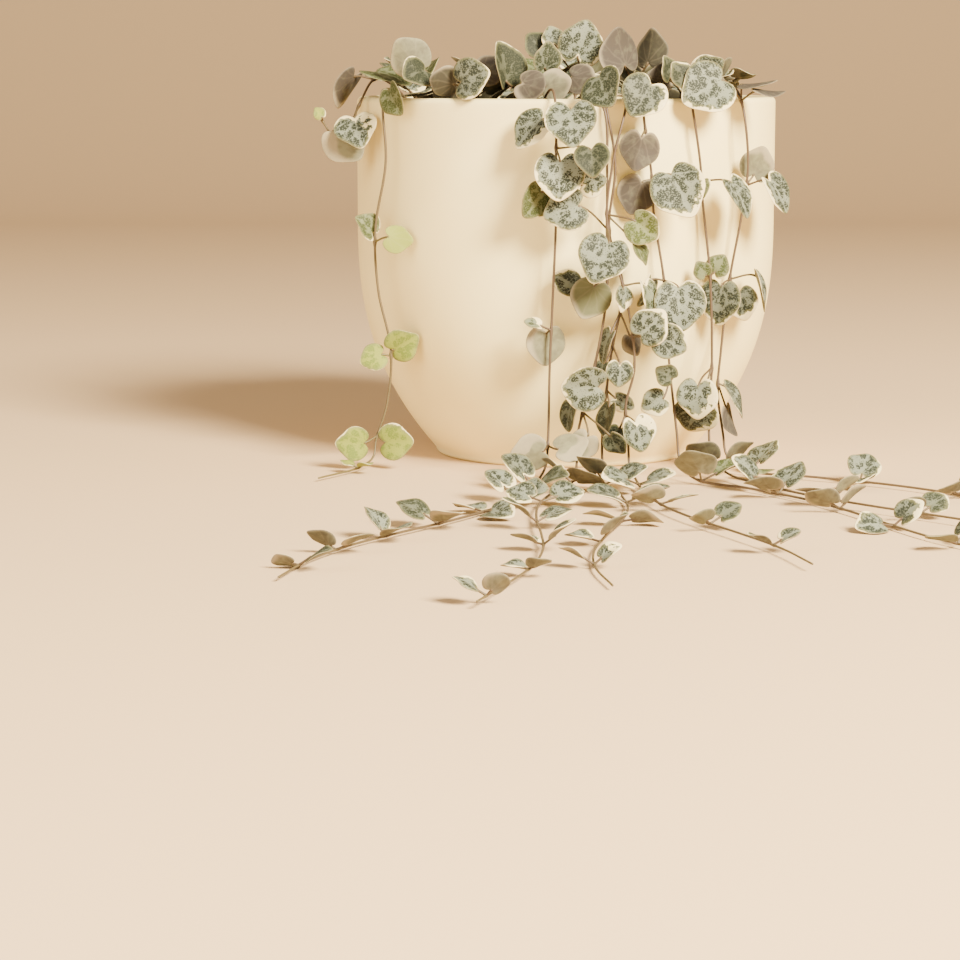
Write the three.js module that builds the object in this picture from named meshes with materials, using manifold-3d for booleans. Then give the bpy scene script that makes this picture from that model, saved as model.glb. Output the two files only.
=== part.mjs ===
// A string of hearts in a round-bottomed ceramic pot. Millimetres, +Z up, the viewer's side is -Y.
// The origin is the middle of the pot's flat foot. Leafy stems rise from the soil, lie over the rim,
// hang down the pot and run on along the surface that the pot stands on.
import * as THREE from "three";
import { mergeVertices } from "three/addons/utils/BufferGeometryUtils.js";
import Module from "manifold-3d";

const wasm = await Module();
wasm.setup();
const { Manifold, Mesh } = wasm;

// ---- Driving dimensions
const POT = { rim: 79.5, foot: 48, height: 136, wall: 4, floor: 6, belly: 90, roundness: 2.6, sides: 32 };
const SOIL = { top: 123, gap: 0.35, holeRadius: 1.5, holeDepth: 6, holeSides: 5 };
// joint is half the length of stem that a petiole takes up, bend the length over which a bend is evened.
const STEM = { radius: 0.8, sides: 4, joint: 0.6, bend: 2, overRim: 5 };
const BLADE = { thickness: 0.75, fold: 10, curl: 0.1, neck: 0.46, large: 15 };
BLADE.plain = [146, 100, 50]; // where the outline's corners stand, in degrees from the tip
BLADE.fine = [152, 120, 80, 38]; // the same for the large blades
// What the outline adds to a circle: how much, how far from the tip (radians) and over what spread.
BLADE.bumps = [
  { height: 0.14, from: 0, spread: 0.3 }, // the point of the tip
  { height: -0.1, from: 0.75, spread: 0.4 }, // the taper beside it
  { height: -0.52, from: Math.PI, spread: 0.38 }, // the notch that the petiole joins
];
// The ranges that leaves grown by rule are drawn from.
const GROWTH = { swing: [-0.5, 0.7], turn: [-40, 40], reach: [0.5, 0.75], fold: [4, 20], width: [0.85, 1.1] };
GROWTH.tipShare = 0.6; // the size of the last leaves, as a share of the first
GROWTH.raised = 0.05; // how far a blade stands above its petiole's direction, in widths
GROWTH.draws = 9; // how many draws a leaf uses up
// A stretch on the surface: way points a step apart from start on, and how it leaves the foot of the pot.
const LYING = { step: 28, start: 10, leaves: [2, 2.5], landing: 3.5, share: 0.45, wave: 0.85, settle: 0.8 };
const CROWN = { lift: 14, top: 19, bend: 0.35 }; // the grown stems of the crown, above the soil
const SURFACE_GAP = 0.4; // the lowest that a blade comes to the surface the pot stands on
const ROUNDING = 1e-6;
const DEG = Math.PI / 180;

const COLOURS = {
  pot: new THREE.MeshStandardMaterial({ color: 0xefe0c2, roughness: 0.55, metalness: 0 }),
  soil: new THREE.MeshStandardMaterial({ color: 0x3b2a20, roughness: 1, metalness: 0 }),
  variegated: new THREE.MeshStandardMaterial({ color: 0x9aa88c, roughness: 0.5, metalness: 0 }),
  young: new THREE.MeshStandardMaterial({ color: 0xa9c06a, roughness: 0.5, metalness: 0 }),
};

// ---- Numbers that repeat the same way each time: draw(seed, k) is the k-th draw, from 0 to 1.
const fraction = (x) => x - Math.floor(x);
const draw = (seed, k) => fraction(Math.sin(seed * 12.9898 + k * 78.233) * 43758.5453);
const between = (low, high, share) => low + (high - low) * share;

// ---- Solids
function solidOf(positions, triangles) {
  return new Manifold(
    new Mesh({
      numProp: 3,
      vertProperties: new Float32Array(positions.flat()),
      triVerts: new Uint32Array(triangles.flat()),
    }),
  );
}

function solidOfGeometry(geometry) {
  const bare = geometry.clone();
  bare.deleteAttribute("normal");
  bare.deleteAttribute("uv");
  const merged = mergeVertices(bare, 1e-3);
  return new Manifold(
    new Mesh({
      numProp: 3,
      vertProperties: new Float32Array(merged.attributes.position.array),
      triVerts: new Uint32Array(merged.index.array),
    }),
  );
}

function meshOf(name, solid, material) {
  const { numProp, numVert, vertProperties, triVerts } = solid.getMesh();
  const positions = new Float32Array(numVert * 3);
  for (let i = 0; i < numVert; i++) {
    positions.set(vertProperties.subarray(i * numProp, i * numProp + 3), i * 3);
  }
  const geometry = new THREE.BufferGeometry();
  geometry.setAttribute("position", new THREE.BufferAttribute(positions, 3));
  geometry.setIndex(new THREE.BufferAttribute(triVerts, 1));
  const mesh = new THREE.Mesh(geometry, material);
  mesh.name = name;
  return mesh;
}

// ---- Pot and soil
// The wall leaves the foot at an angle and swings up to the upright: one power curve up to the belly height.
function potRadius(z) {
  const low = Math.max(0, 1 - z / POT.belly);
  return POT.foot + (POT.rim - POT.foot) * (1 - low ** POT.roundness);
}

const lathe = (profile, sides) =>
  solidOfGeometry(new THREE.LatheGeometry(profile, sides).rotateX(Math.PI / 2));

function potSolid() {
  const heights = [0, 7, 17, 31, 50, 84, POT.height - 1];
  const outside = heights.map((z) => new THREE.Vector2(potRadius(z), z));
  const lip = [
    new THREE.Vector2(POT.rim - 1, POT.height),
    new THREE.Vector2(POT.rim - POT.wall + 1, POT.height),
    new THREE.Vector2(POT.rim - POT.wall, POT.height - 1),
  ];
  const innerHeights = [84, 40, POT.floor];
  const inside = innerHeights.map((z) => new THREE.Vector2(potRadius(z) - POT.wall, z));
  const profile = [new THREE.Vector2(0, 0), ...outside, ...lip, ...inside, new THREE.Vector2(0, POT.floor)];
  return lathe(profile, POT.sides);
}

function soilSolid(roots) {
  const inset = POT.wall + SOIL.gap;
  const heights = [POT.floor + SOIL.gap, 40, 84, SOIL.top];
  const side = heights.map((z) => new THREE.Vector2(potRadius(z) - inset, z));
  const profile = [new THREE.Vector2(0, heights[0]), ...side, new THREE.Vector2(0, SOIL.top)];
  const bore = [SOIL.holeRadius, SOIL.holeRadius, 2 * SOIL.holeDepth, SOIL.holeSides];
  const holes = roots.map(({ x, y }) => {
    const hole = new THREE.CylinderGeometry(...bore);
    return solidOfGeometry(hole.rotateX(Math.PI / 2).translate(x, y, SOIL.top));
  });
  return lathe(profile, POT.sides).subtract(Manifold.union(holes));
}

// ---- Leaves
// Half the blade's width is 1. The radius at an angle from the tip: a circle and the outline's bumps.
function bladeRadius(angle) {
  const bump = ({ height, from, spread }) => height * Math.exp(-(((Math.abs(angle) - from) / spread) ** 2));
  return BLADE.bumps.reduce((radius, one) => radius + bump(one), 1);
}

// A leaf is its blade's centre, tip (the way it points), face (the way its upper side looks), width,
// fold (how far the halves close, in degrees) and far (how far along the stem it grows).
// The outline runs from the petiole up the left side, round the tip and down the right side.
function bladeOf({ centre, tip, face, width, fold }) {
  const side = new THREE.Vector3().crossVectors(tip, face);
  const half = width / 2;
  const notch = Math.PI - BLADE.neck / (half * bladeRadius(Math.PI));
  const left = [notch, ...(width >= BLADE.large ? BLADE.fine : BLADE.plain).map((a) => a * DEG)];
  const outline = [...left, 0, ...left.slice().reverse().map((a) => -a)];
  const at = (angle, lift) => {
    const r = half * bladeRadius(angle);
    const along = r * Math.cos(angle);
    const across = r * Math.sin(angle);
    const rise = Math.abs(across) * Math.tan(fold * DEG) - (BLADE.curl * along * along) / half;
    return centre
      .clone()
      .addScaledVector(tip, along)
      .addScaledVector(side, across)
      .addScaledVector(face, rise + lift);
  };
  const upper = outline.map((a) => at(a, BLADE.thickness / 2));
  const lower = outline.map((a) => at(a, -BLADE.thickness / 2));
  upper.forEach((p, i) => {
    const short = Math.max(0, SURFACE_GAP - Math.min(p.z, lower[i].z));
    p.z += short;
    lower[i].z += short;
  });
  return { upper, lower };
}

// The triangles of a blade whose first corner has the number `first`: the upper face, the lower face
// split in the same way, and the edge between them. It is open where the petiole joins.
function bladeTriangles(count, first) {
  const tip = (count - 1) / 2;
  const split = [[0, tip, count - 1]];
  for (let i = 0; i < tip - 1; i++) split.push([i, i + 1, tip]);
  for (let i = tip + 1; i < count - 1; i++) split.push([tip, i, i + 1]);
  const faces = split.flatMap(([i, j, k]) => [
    [i, j, k],
    [count + i, count + k, count + j],
  ]);
  for (let i = 0; i < count - 1; i++) {
    faces.push([i + 1, i, count + i], [i + 1, count + i, count + i + 1]);
  }
  return faces.map((face) => face.map((i) => i + first));
}

// A leaf as it is seen from the front. right, out and up place the middle of the blade from its node.
// clock is where the tip points, as on a clock face in degrees; pitch brings the tip towards the
// viewer; roll turns the blade about its midrib, so that 90 is edge-on and 180 shows the underside.
function seenLeaf(node, [right, out, up, width, clock, pitch, roll, fold = BLADE.fold]) {
  const c = clock * DEG;
  const p = pitch * DEG;
  const tip = new THREE.Vector3(Math.sin(c) * Math.cos(p), -Math.sin(p), Math.cos(c) * Math.cos(p));
  const viewer = new THREE.Vector3(0, -1, 0);
  const flat = viewer.clone().addScaledVector(tip, -viewer.dot(tip)).normalize();
  const face = flat.applyAxisAngle(tip, roll * DEG);
  const centre = node.clone().add(new THREE.Vector3(right, -out, up));
  return { centre, tip, face, width, fold };
}

// A leaf that grows by rule: side is +1 or -1, run the way the stem goes, seed and k the draws it uses.
function grownLeaf(node, run, side, width, lean, seed, k) {
  const up = new THREE.Vector3(0, 0, 1);
  const across = new THREE.Vector3().crossVectors(run, up).normalize().multiplyScalar(side);
  const swing = between(...GROWTH.swing, draw(seed, k));
  const rise = between(...lean, draw(seed, k + 1)) * DEG;
  const turn = between(...GROWTH.turn, draw(seed, k + 2)) * DEG;
  const flat = across.addScaledVector(run, swing).setZ(0).normalize();
  const tip = flat.clone().multiplyScalar(Math.cos(rise)).addScaledVector(up, Math.sin(rise)).normalize();
  const face = up.clone().addScaledVector(tip, -up.dot(tip)).normalize().applyAxisAngle(tip, turn);
  const reach = width * between(...GROWTH.reach, draw(seed, k + 3));
  const centre = node.clone().addScaledVector(tip, reach).addScaledVector(up, width * GROWTH.raised);
  return { centre, tip, face, width, fold: between(...GROWTH.fold, draw(seed, k + 4)) };
}

// ---- Leafy stems
// A stem's way is a row of way points with a smooth curve through them. Its path is a row of points on
// that curve, at every way point and at one between each two, with how far along each one is.
function pathOf(way) {
  const curve = new THREE.CatmullRomCurve3(way.map((p) => new THREE.Vector3(...p)));
  const count = 2 * (way.length - 1);
  const points = Array.from({ length: count + 1 }, (_, i) => curve.getPoint(i / count));
  const far = [0];
  for (let i = 1; i <= count; i++) far.push(far[i - 1] + points[i].distanceTo(points[i - 1]));
  return { points, far, end: far[count] };
}

// The point of the path that is so far along it, and the way the stem goes there.
function placeAt({ points, far, end }, distance) {
  const i = Math.max(0, far.findLastIndex((f) => f <= Math.min(distance, end - ROUNDING)));
  const node = points[i].clone().lerp(points[i + 1], (distance - far[i]) / (far[i + 1] - far[i]));
  return { node, run: points[i + 1].clone().sub(points[i]).normalize() };
}

// How far along a place is that is given by way points: 4.3 is 30% on from way point 4 to 5.
function farOf({ far, end }, at) {
  const i = Math.min(Math.floor(2 * at), far.length - 2);
  return Math.min(between(far[i], far[i + 1], 2 * at - i), end - 1.5 * STEM.joint);
}

// How far along the hanging stretch a height is. That stretch goes down from each point to the next.
function farAtHeight({ points, far }, z) {
  const i = points.findIndex((p, k) => k > STEM.overRim && p.z >= z && points[k + 1].z < z);
  return between(far[i], far[i + 1], (points[i].z - z) / (points[i].z - points[i + 1].z));
}

// The corners of a stem: one ring round its path at each distance. The rings don't twist.
function stemCorners(path, distances) {
  const out = new THREE.Vector3(0.05, -1, 0.1);
  return distances.flatMap((distance) => {
    const { node } = placeAt(path, distance);
    const before = placeAt(path, Math.max(0, distance - STEM.bend)).run;
    const after = placeAt(path, Math.min(path.end, distance + STEM.bend)).run;
    const run = before.add(after).normalize();
    out.addScaledVector(run, -out.dot(run)).normalize();
    const side = new THREE.Vector3().crossVectors(run, out);
    return Array.from({ length: STEM.sides }, (_, k) => {
      const a = ((k + 0.5) / STEM.sides) * 2 * Math.PI;
      const corner = node.clone().addScaledVector(out, STEM.radius * Math.cos(a));
      return corner.addScaledVector(side, STEM.radius * Math.sin(a));
    });
  });
}

const middleOf = (loop, corners) =>
  loop.reduce((sum, i) => sum.add(corners[i]), new THREE.Vector3()).divideScalar(loop.length);

// Adds a leaf's corners and faces. Its petiole opens out of the side of the stem that looks its way,
// and that side is what comes back. sides are the stem's sides that are still closed, at this node.
function addLeaf(leaf, sides, centre, corners, faces) {
  const { upper, lower } = bladeOf(leaf);
  const count = upper.length;
  const first = corners.length;
  corners.push(...upper, ...lower);
  faces.push(...bladeTriangles(count, first));
  const neck = [first, first + count - 1, first + 2 * count - 1, first + count];
  const reach = middleOf(neck, corners).sub(centre);
  const away = (side) => middleOf(side, corners).sub(centre).dot(reach);
  const open = sides.reduce((best, side) => (away(side) > away(best) ? side : best));
  faces.push(...petioleTriangles(open, neck, corners));
  return open;
}

// The four sides of a petiole, from the stem's open side to the blade's open neck, with least twist.
function petioleTriangles(base, neck, corners) {
  const partner = (shift, j) => neck[(shift - j + 8) % 4];
  const edge = (shift, b, j) => corners[b].distanceTo(corners[partner(shift, j)]);
  const length = (shift) => base.reduce((sum, b, j) => sum + edge(shift, b, j), 0);
  const shift = [0, 1, 2, 3].reduce((best, s) => (length(s) < length(best) ? s : best));
  return base.flatMap((b, j) => {
    const next = base[(j + 1) % 4];
    return [
      [b, next, partner(shift, j + 1)],
      [b, partner(shift, j + 1), partner(shift, j)],
    ];
  });
}

// A stem and its leaves in one skin. The stem has a ring of corners at each point of its path and one
// on either side of each node, where the petioles open out.
function leafyStem({ path, leaves }) {
  const joints = [...new Set(leaves.map((leaf) => leaf.far))];
  const clear = (far) => joints.every((joint) => Math.abs(joint - far) > 3 * STEM.joint);
  const plain = path.far.filter((far) => far === 0 || far === path.end || clear(far));
  const rings = [...plain, ...joints.flatMap((joint) => [joint - STEM.joint, joint + STEM.joint])];
  rings.sort((a, b) => a - b);
  const corners = stemCorners(path, rings);
  const faces = [];
  const n = STEM.sides;
  for (let i = 0; i < rings.length - 1; i++) {
    let sides = Array.from({ length: n }, (_, k) => {
      const [a, b] = [i * n + k, i * n + ((k + 1) % n)];
      return [a, b, b + n, a + n];
    });
    const centre = middleOf(sides.flat(), corners);
    for (const leaf of leaves.filter(({ far }) => Math.abs(far - STEM.joint - rings[i]) < ROUNDING)) {
      const open = addLeaf(leaf, sides, centre, corners, faces);
      sides = sides.filter((side) => side !== open);
    }
    for (const [a, b, c, d] of sides) faces.push([a, b, c], [a, c, d]);
  }
  const top = (rings.length - 1) * n;
  for (let k = 1; k < n - 1; k++) faces.push([0, k + 1, k], [top, top + k, top + k + 1]);
  return solidOf(corners.map((p) => p.toArray()), faces);
}

// The stretch that lies on the surface: it leaves the foot of the hanging stretch at a heading from
// the viewer's direction, sways from side to side and ends at its growing tip.
function lyingWay([x, y, z], { heading, length, sway, lift }) {
  const [c, s] = [Math.cos(heading * DEG), Math.sin(heading * DEG)];
  const count = Math.round(length / LYING.step);
  const landing = Math.max(lift + LYING.landing, z * LYING.share);
  const points = [[x + LYING.leaves[0] * s, y - LYING.leaves[1] * c, landing]];
  for (let k = 0; k <= count; k++) {
    const far = LYING.start + k * LYING.step;
    const aside = sway * Math.sin(LYING.wave * k);
    points.push([x + far * s + aside * c, y - far * c + aside * s, k ? lift : lift + LYING.settle]);
  }
  return points;
}

// Leaves in pairs along the rest of a path, smaller towards the growing tip.
function pairedLeaves(path, first, { seed, size, every = 1, lean = [0, 45] }) {
  const leaves = [];
  const last = (path.far.length - 1) / 2;
  let k = 0;
  for (let at = first; at < last + 0.01; at += every) {
    const far = farOf(path, at);
    const { node, run } = placeAt(path, far);
    const share = between(1, GROWTH.tipShare, (at - first) / (last - first));
    for (const side of [1, -1]) {
      const width = size * share * between(...GROWTH.width, draw(seed, k + 7));
      leaves.push({ ...grownLeaf(node, run, side, width, lean, seed, k), far });
      k += GROWTH.draws;
    }
  }
  return leaves;
}

// The leaves that are given one by one, for the node that is so far along. from is where their rows
// measure from, where that isn't the node.
function seenLeaves(path, far, rows, from = placeAt(path, far).node) {
  return rows.map((row) => ({ ...seenLeaf(from, row), far }));
}

// A hanging stem: its way over the rim and down the pot, the leaves seen on it by the height of their
// node, and the stretch that lies on the surface.
function strandParts({ way, seen, lying }) {
  const path = pathOf([...way, ...lyingWay(way[way.length - 1], lying)]);
  const hung = seen.flatMap(([z, ...rows]) => seenLeaves(path, farAtHeight(path, z), rows));
  return { path, leaves: [...hung, ...pairedLeaves(path, way.length + lying.first, lying)] };
}

// A short stem in the crown, with leaves given by their place along the way or grown by rule.
function sprigParts({ way, seen = [], grown }) {
  const path = pathOf(way);
  const foot = new THREE.Vector3();
  const shown = seen.flatMap(([at, ...rows]) => seenLeaves(path, farOf(path, at), rows, foot));
  return { path, leaves: [...shown, ...(grown ? pairedLeaves(path, grown.first, grown) : [])] };
}

// A stem's first way points: up out of the soil at x, y.
const outOfSoil = (x, y) => [
  [x, y, SOIL.top - SOIL.holeDepth + 0.5],
  [x, y, SOIL.top + 3],
];

// ---- The hanging stems, from left to right. Leaf rows: [right, out, up, width, clock, pitch, roll, fold].
const STRANDS = {
  strand_left: {
    way: [
      ...outOfSoil(-52, -30),
      [-63, -39, 138],
      [-68, -46, 138.5],
      [-68, -51, 131],
      [-67, -52, 113],
      [-71, -51, 88],
      [-70, -51, 66],
      [-65.5, -51, 44],
      [-67, -51, 24],
      [-71, -52, 11],
    ],
    seen: [
      [138, [4, 10, -2, 13, 154, 24, 44, 16]],
      [84, [-3, 0, 5, 11, 319, 18, 43, 25], [8, 7, 1.5, 11, 100, 0, 160, 6]],
      [42, [-6, 1, -0.5, 10.5, 250, 10, 15, 8], [4, 2, 4, 13, 60, 15, 10, 8]],
      [12.5, [-8.5, 3, -2.5, 13, 272, 20, 0, 6], [6, 3, -2, 14, 85, 20, -4, 6]],
    ],
    lying: { heading: -31, length: 24, sway: 0, lift: 1.5, first: 1.1, seed: 399, size: 6 },
  },
  strand_1: {
    way: [
      ...outOfSoil(-12, -58),
      [-9, -70, 137.5],
      [-7, -79, 139],
      [-6, -86, 132],
      [-6, -88, 116],
      [-6, -88, 92],
      [-7, -88, 66],
      [-8, -88, 40],
      [-8.5, -89, 16],
    ],
    seen: [
      [131, [5, 13, -2, 18.5, 177, 31, 5], [-8, 3, -5, 17, 222, 5, 50]],
      [119, [1, 8, -8.5, 18, 183, 18, 0], [12, 13, -3, 13, 175, 29, 2, 22]],
      [104, [-7, 2, -3, 13.5, 213, 18, -32], [12, 2, 3, 11, 75, 10, 15]],
      [55, [-2, -3, -5, 15, 183, -2, 162, 4], [-6, 2, 2.5, 7, 285, 10, 60]],
      [14, [-6, 4, -2, 14, 262, -2, 169], [7.5, 7, 0.5, 13, 77, 0, 136]],
    ],
    lying: { heading: -23, length: 196, sway: 7, lift: 1.6, first: 1.3, seed: 374, size: 14 },
  },
  strand_2: {
    way: [
      ...outOfSoil(2, -50),
      [4, -68, 137.5],
      [6, -79, 139],
      [11, -86, 132],
      [12, -87, 112],
      [12, -87, 92],
      [12, -87, 66],
      [8, -87, 42],
      [2, -88, 17],
    ],
    seen: [
      [74, [-6, 3, -7, 15, 201, 3, 182], [-14, -2, -2.5, 11, 300, 0, 30]],
      [41, [-3, 12, -5, 17.5, 272, 14, -17], [-8.5, 0, -16, 12, 190, 0, 62]],
      [26, [0, 5, -11, 11, 210, -4, 192], [11, 10, -10, 10, 143, -5, 38]],
    ],
    lying: { heading: -8, length: 210, sway: -6, lift: 2.6, first: 1.2, seed: 383, size: 13, every: 1.5 },
  },
  strand_3: {
    way: [
      ...outOfSoil(18, -54),
      [13, -70, 137.5],
      [11, -79, 139],
      [12, -83, 132],
      [15, -84, 113],
      [13, -84, 90],
      [18, -84, 70],
      [14, -84, 46],
      [11, -85, 17],
    ],
    seen: [
      [138.5, [-1, 13, 2, 17, 157, 44, 22]],
      [90, [-15, 9, 8, 16, 253, 6, 10]],
      [61, [-4.5, 3, -11, 14, 197, -2, 74], [4.5, 0, -11, 9, 163, 1, 147]],
      [49, [2, 7, -8.5, 10, 184, 9, 1], [-4, 1, -8, 8, 213, -3, 62]],
      [33, [0, 6, -9, 14, 192, 7, 67], [5.5, 1, -4, 9, 120, 0, 30]],
    ],
    lying: { heading: -1, length: 196, sway: 7, lift: 1.6, first: 1.2, seed: 208, size: 14, every: 1.4 },
  },
  strand_4: {
    way: [
      ...outOfSoil(30, -50),
      [24, -66, 137.5],
      [20, -78, 139],
      [18, -87, 131],
      [14, -90, 115],
      [12, -90, 92],
      [19, -90, 66],
      [22, -90, 42],
      [19, -90, 28],
      [20, -90, 15],
    ],
    seen: [
      [96, [12, 5, -4, 13, 128, -2, 10, 18], [11.5, 2, -13, 10, 150, 0, -62]],
      [91, [-2, 10, -9, 18.5, 205, 21, 8]],
      [71, [0, 3, -4, 10, 183, 11, -50], [9, 1, -3, 13, 166, 1, -62]],
      [53, [5.5, 5, 4, 14, 44, 7, -3], [12.5, 4, -1.5, 13, 115, 10, 0]],
      [25, [4, 4, -5.5, 14, 165, 5, -28, 18], [-3.5, 2, -7.5, 10, 200, 0, 50]],
    ],
    lying: { heading: 13, length: 182, sway: -6, lift: 2.6, first: 1.3, seed: 128, size: 13, every: 1.5 },
  },
  strand_5: {
    way: [
      ...outOfSoil(36, -44),
      [30, -62, 137.5],
      [26, -75, 139],
      [25, -80, 132],
      [28, -80, 110],
      [29, -79, 96],
      [33, -79, 71],
      [35, -79, 43],
      [38, -80, 17],
    ],
    seen: [
      [138.5, [-1, 12, -1, 17, 214, 21, 7]],
      [125, [-2.5, 5, -6, 14.5, 192, 3, 180, 16]],
      [108, [9, 9, -3, 20, 151, 14, -4], [-5, 2, -5, 14.5, 200, 0, 180, 12]],
      [72, [5, 9, -7.5, 19, 177, 10, -4], [-6, 3, -3, 13, 204, 4, -63]],
      [38, [-2, 9, 1, 8.5, 305, 12, -1], [-5.5, 4, -9.5, 10.5, 240, 0, 0]],
    ],
    lying: { heading: 31, length: 196, sway: 7, lift: 1.6, first: 1.2, seed: 169, size: 15, every: 1.3 },
  },
  strand_6: {
    way: [
      ...outOfSoil(46, -36),
      [44, -54, 137.5],
      [42, -66, 139],
      [43, -72, 132],
      [46, -71, 113],
      [47, -70, 100],
      [50, -70, 73],
      [51, -71, 42],
      [50, -74, 17],
    ],
    seen: [
      [135, [-4, 3, 9.5, 10, 330, 0, 30]],
      [107, [12.5, 5, -4.5, 17, 150, 3, -60], [-2, 3, -3, 12, 204, 11, 42]],
      [73, [-3, 3, 2, 7, 327, 3, -1], [3, -2, 3, 9, 31, 1, -3]],
      [40, [-6, 14, -9, 15.5, 182, 0, 19], [-6, 5, -16, 17, 199, -32, 3]],
    ],
    lying: { heading: 33, length: 182, sway: -6, lift: 2.6, first: 0.5, seed: 354, size: 14, every: 1.4 },
  },
  strand_7: {
    way: [
      ...outOfSoil(54, -26),
      [58, -44, 137.5],
      [60, -55, 139],
      [62, -61, 132],
      [64, -61, 112],
      [62, -60, 94],
      [58, -60, 71],
      [55, -61, 44],
      [54, -62, 30],
      [56, -63, 15],
    ],
    seen: [
      [135, [-13, 14, 5, 20.5, 242, 23, 15], [5, 2, 6, 15, 84, 18, 91], [8.5, 4, 3.5, 13, 98, 0, 96]],
      [105, [4, -2, 7, 13, 19, 3, 183], [10.5, 2, -2, 16.5, 150, 2, -57]],
      [71, [-4, 8, -7, 17, 185, 5, 25], [4, 3, -8, 13, 168, 4, 16], [11, 1, -3, 17, 165, 5, -81]],
      [33, [5.5, 0, -5, 16, 150, 0, -76], [4, 3, -12.5, 13, 163, 0, 112]],
    ],
    lying: { heading: 50, length: 168, sway: 7, lift: 1.6, first: 1.1, seed: 337, size: 14, every: 1.5 },
  },
};

// ---- The short stems of the crown, from left to right. Here a leaf's right, out and up are measured
// from the middle of the pot's foot.
const SPRIGS = {
  sprig_left: {
    way: [
      ...outOfSoil(-56, -6),
      [-64, -14, 139],
      [-72, -24, 142.5],
      [-77.5, -31, 133],
      [-82, -29, 124],
      [-87, -31, 122],
      [-91.5, -32, 128],
    ],
    seen: [
      [3, [-82, 24, 140, 17, 212, 3, 115], [-67, 34, 144, 21, 109, 40, -69]],
      [4, [-78, 40, 125, 16.5, 165, 42, 0]],
      [6, [-83, 37, 120, 17, 136, 8, 177]],
      [7, [-92, 34, 130, 5, 327, 2, 16]],
    ],
  },
  sprig_a: {
    way: [...outOfSoil(-44, -34), [-48, -42, 137], [-52, -49, 145]],
    seen: [
      [2.3, [-55, 59, 145, 13, 251, 43, 23], [-46, 57, 140, 11, 76, 22, 180]],
      [3, [-58, 50, 150.5, 15.5, 323, 2, 179]],
    ],
  },
  sprig_b: {
    way: [...outOfSoil(-34, -44), [-34, -53, 136], [-35, -60, 141]],
    seen: [
      [2.3, [-45, 63, 142, 12, 285, 20, 165], [-30, 56, 146, 12, 50, 0, 160]],
      [3, [-36.5, 70, 143, 15.5, 71, 29, -20]],
    ],
  },
  sprig_c: {
    way: [...outOfSoil(-20, -46), [-20, -55, 135], [-20, -61, 140]],
    seen: [
      [2.3, [-15, 70, 140.5, 13, 107, 33, 164]],
      [3, [-24, 64, 147, 18, 349, 3, 52, 24]],
    ],
  },
  sprig_d: {
    way: [...outOfSoil(-6, -40), [-7, -48, 137], [-8, -54, 145]],
    seen: [
      [2.3, [-6, 67, 141, 12, 76, 13, 170]],
      [3, [-12, 50, 155, 10.5, 320, 0, 20], [-9, 62, 150, 12, 8, 10, 33]],
    ],
  },
  sprig_e: {
    way: [...outOfSoil(4, -38), [4, -47, 138], [4, -54, 146]],
    seen: [
      [2.3, [3, 65, 143, 12, 101, 28, 160], [-6.5, 53, 157.5, 8.5, 343, -3, -1]],
      [3, [3.5, 58, 155, 17, 15, 5, 0]],
    ],
  },
  sprig_f: {
    way: [...outOfSoil(22, -32), [22, -42, 138], [22, -51, 144]],
    seen: [
      [2.3, [29, 51, 153, 14.5, 10, -6, 140, 14]],
      [3, [18, 61, 152, 18, 345, 7, 216, 14]],
    ],
  },
  sprig_g: {
    way: [...outOfSoil(40, -26), [41, -37, 136], [42, -47, 140]],
    seen: [
      [2.3, [33, 54, 143, 12, 280, 20, 160], [50, 44, 146, 13, 60, 10, 20]],
      [3, [35, 59, 146, 10, 348, 9, 49], [50, 55, 141, 12, 93, 20, 164]],
    ],
  },
};

// Where the grown sprigs stand: [x, y, the way they lean in degrees, reach, seed].
const GROWN = [
  [48, -5, 25, 18, 829],
  [50, 20, 50, 20, 264],
  [30, 42, 60, 24, 260],
  [4, 50, 75, 22, 185],
  [-24, 46, 120, 20, 215],
  [-44, 28, 150, 22, 185],
  [-54, 6, 215, 16, 848],
  [22, -14, 290, 26, 396],
  [20, 12, 60, 24, 237],
  [-6, 20, 160, 26, 127],
  [-30, -6, 240, 28, 339],
  [-2, -18, 262, 26, 148],
];
for (const [i, [x, y, lean, reach, seed]] of GROWN.entries()) {
  const [c, s] = [Math.cos(lean * DEG), Math.sin(lean * DEG)];
  const way = [
    ...outOfSoil(x, y),
    [x + CROWN.bend * reach * c, y + CROWN.bend * reach * s, SOIL.top + CROWN.lift],
    [x + reach * c, y + reach * s, SOIL.top + CROWN.top],
  ];
  SPRIGS[`sprig_top_${i + 1}`] = { way, grown: { first: 1.3, every: 0.56, seed, size: 18, lean: [-8, 42] } };
}

// ---- The whole plant
const stems = [
  ...Object.entries(STRANDS).map(([name, strand]) => [name, strandParts(strand)]),
  ...Object.entries(SPRIGS).map(([name, sprig]) => [name, sprigParts(sprig)]),
];
const group = new THREE.Group();
group.add(meshOf("pot", potSolid(), COLOURS.pot));
group.add(meshOf("soil", soilSolid(stems.map(([, { path }]) => path.points[0])), COLOURS.soil));
for (const [name, parts] of stems) {
  group.add(meshOf(name, leafyStem(parts), name === "strand_left" ? COLOURS.young : COLOURS.variegated));
}

export default group;
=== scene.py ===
"""A string of hearts in a round-bottomed ceramic pot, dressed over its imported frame.

Leafy stems rise from the soil, lie over the rim, hang down the pot and run on along the surface. Each
one is worked out here from the same way points and leaf rows as its solid, with a round stem, bent
petioles and full leaves in place of the faceted ones. Sizes and places are millimetres, as in the
part's own source, until mesh_object turns them to metres. +Z is up and the viewer's side is -Y.
"""
import logging
import math
from dataclasses import dataclass, field
from enum import Enum
from typing import Any, NamedTuple, Optional, Union

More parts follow.
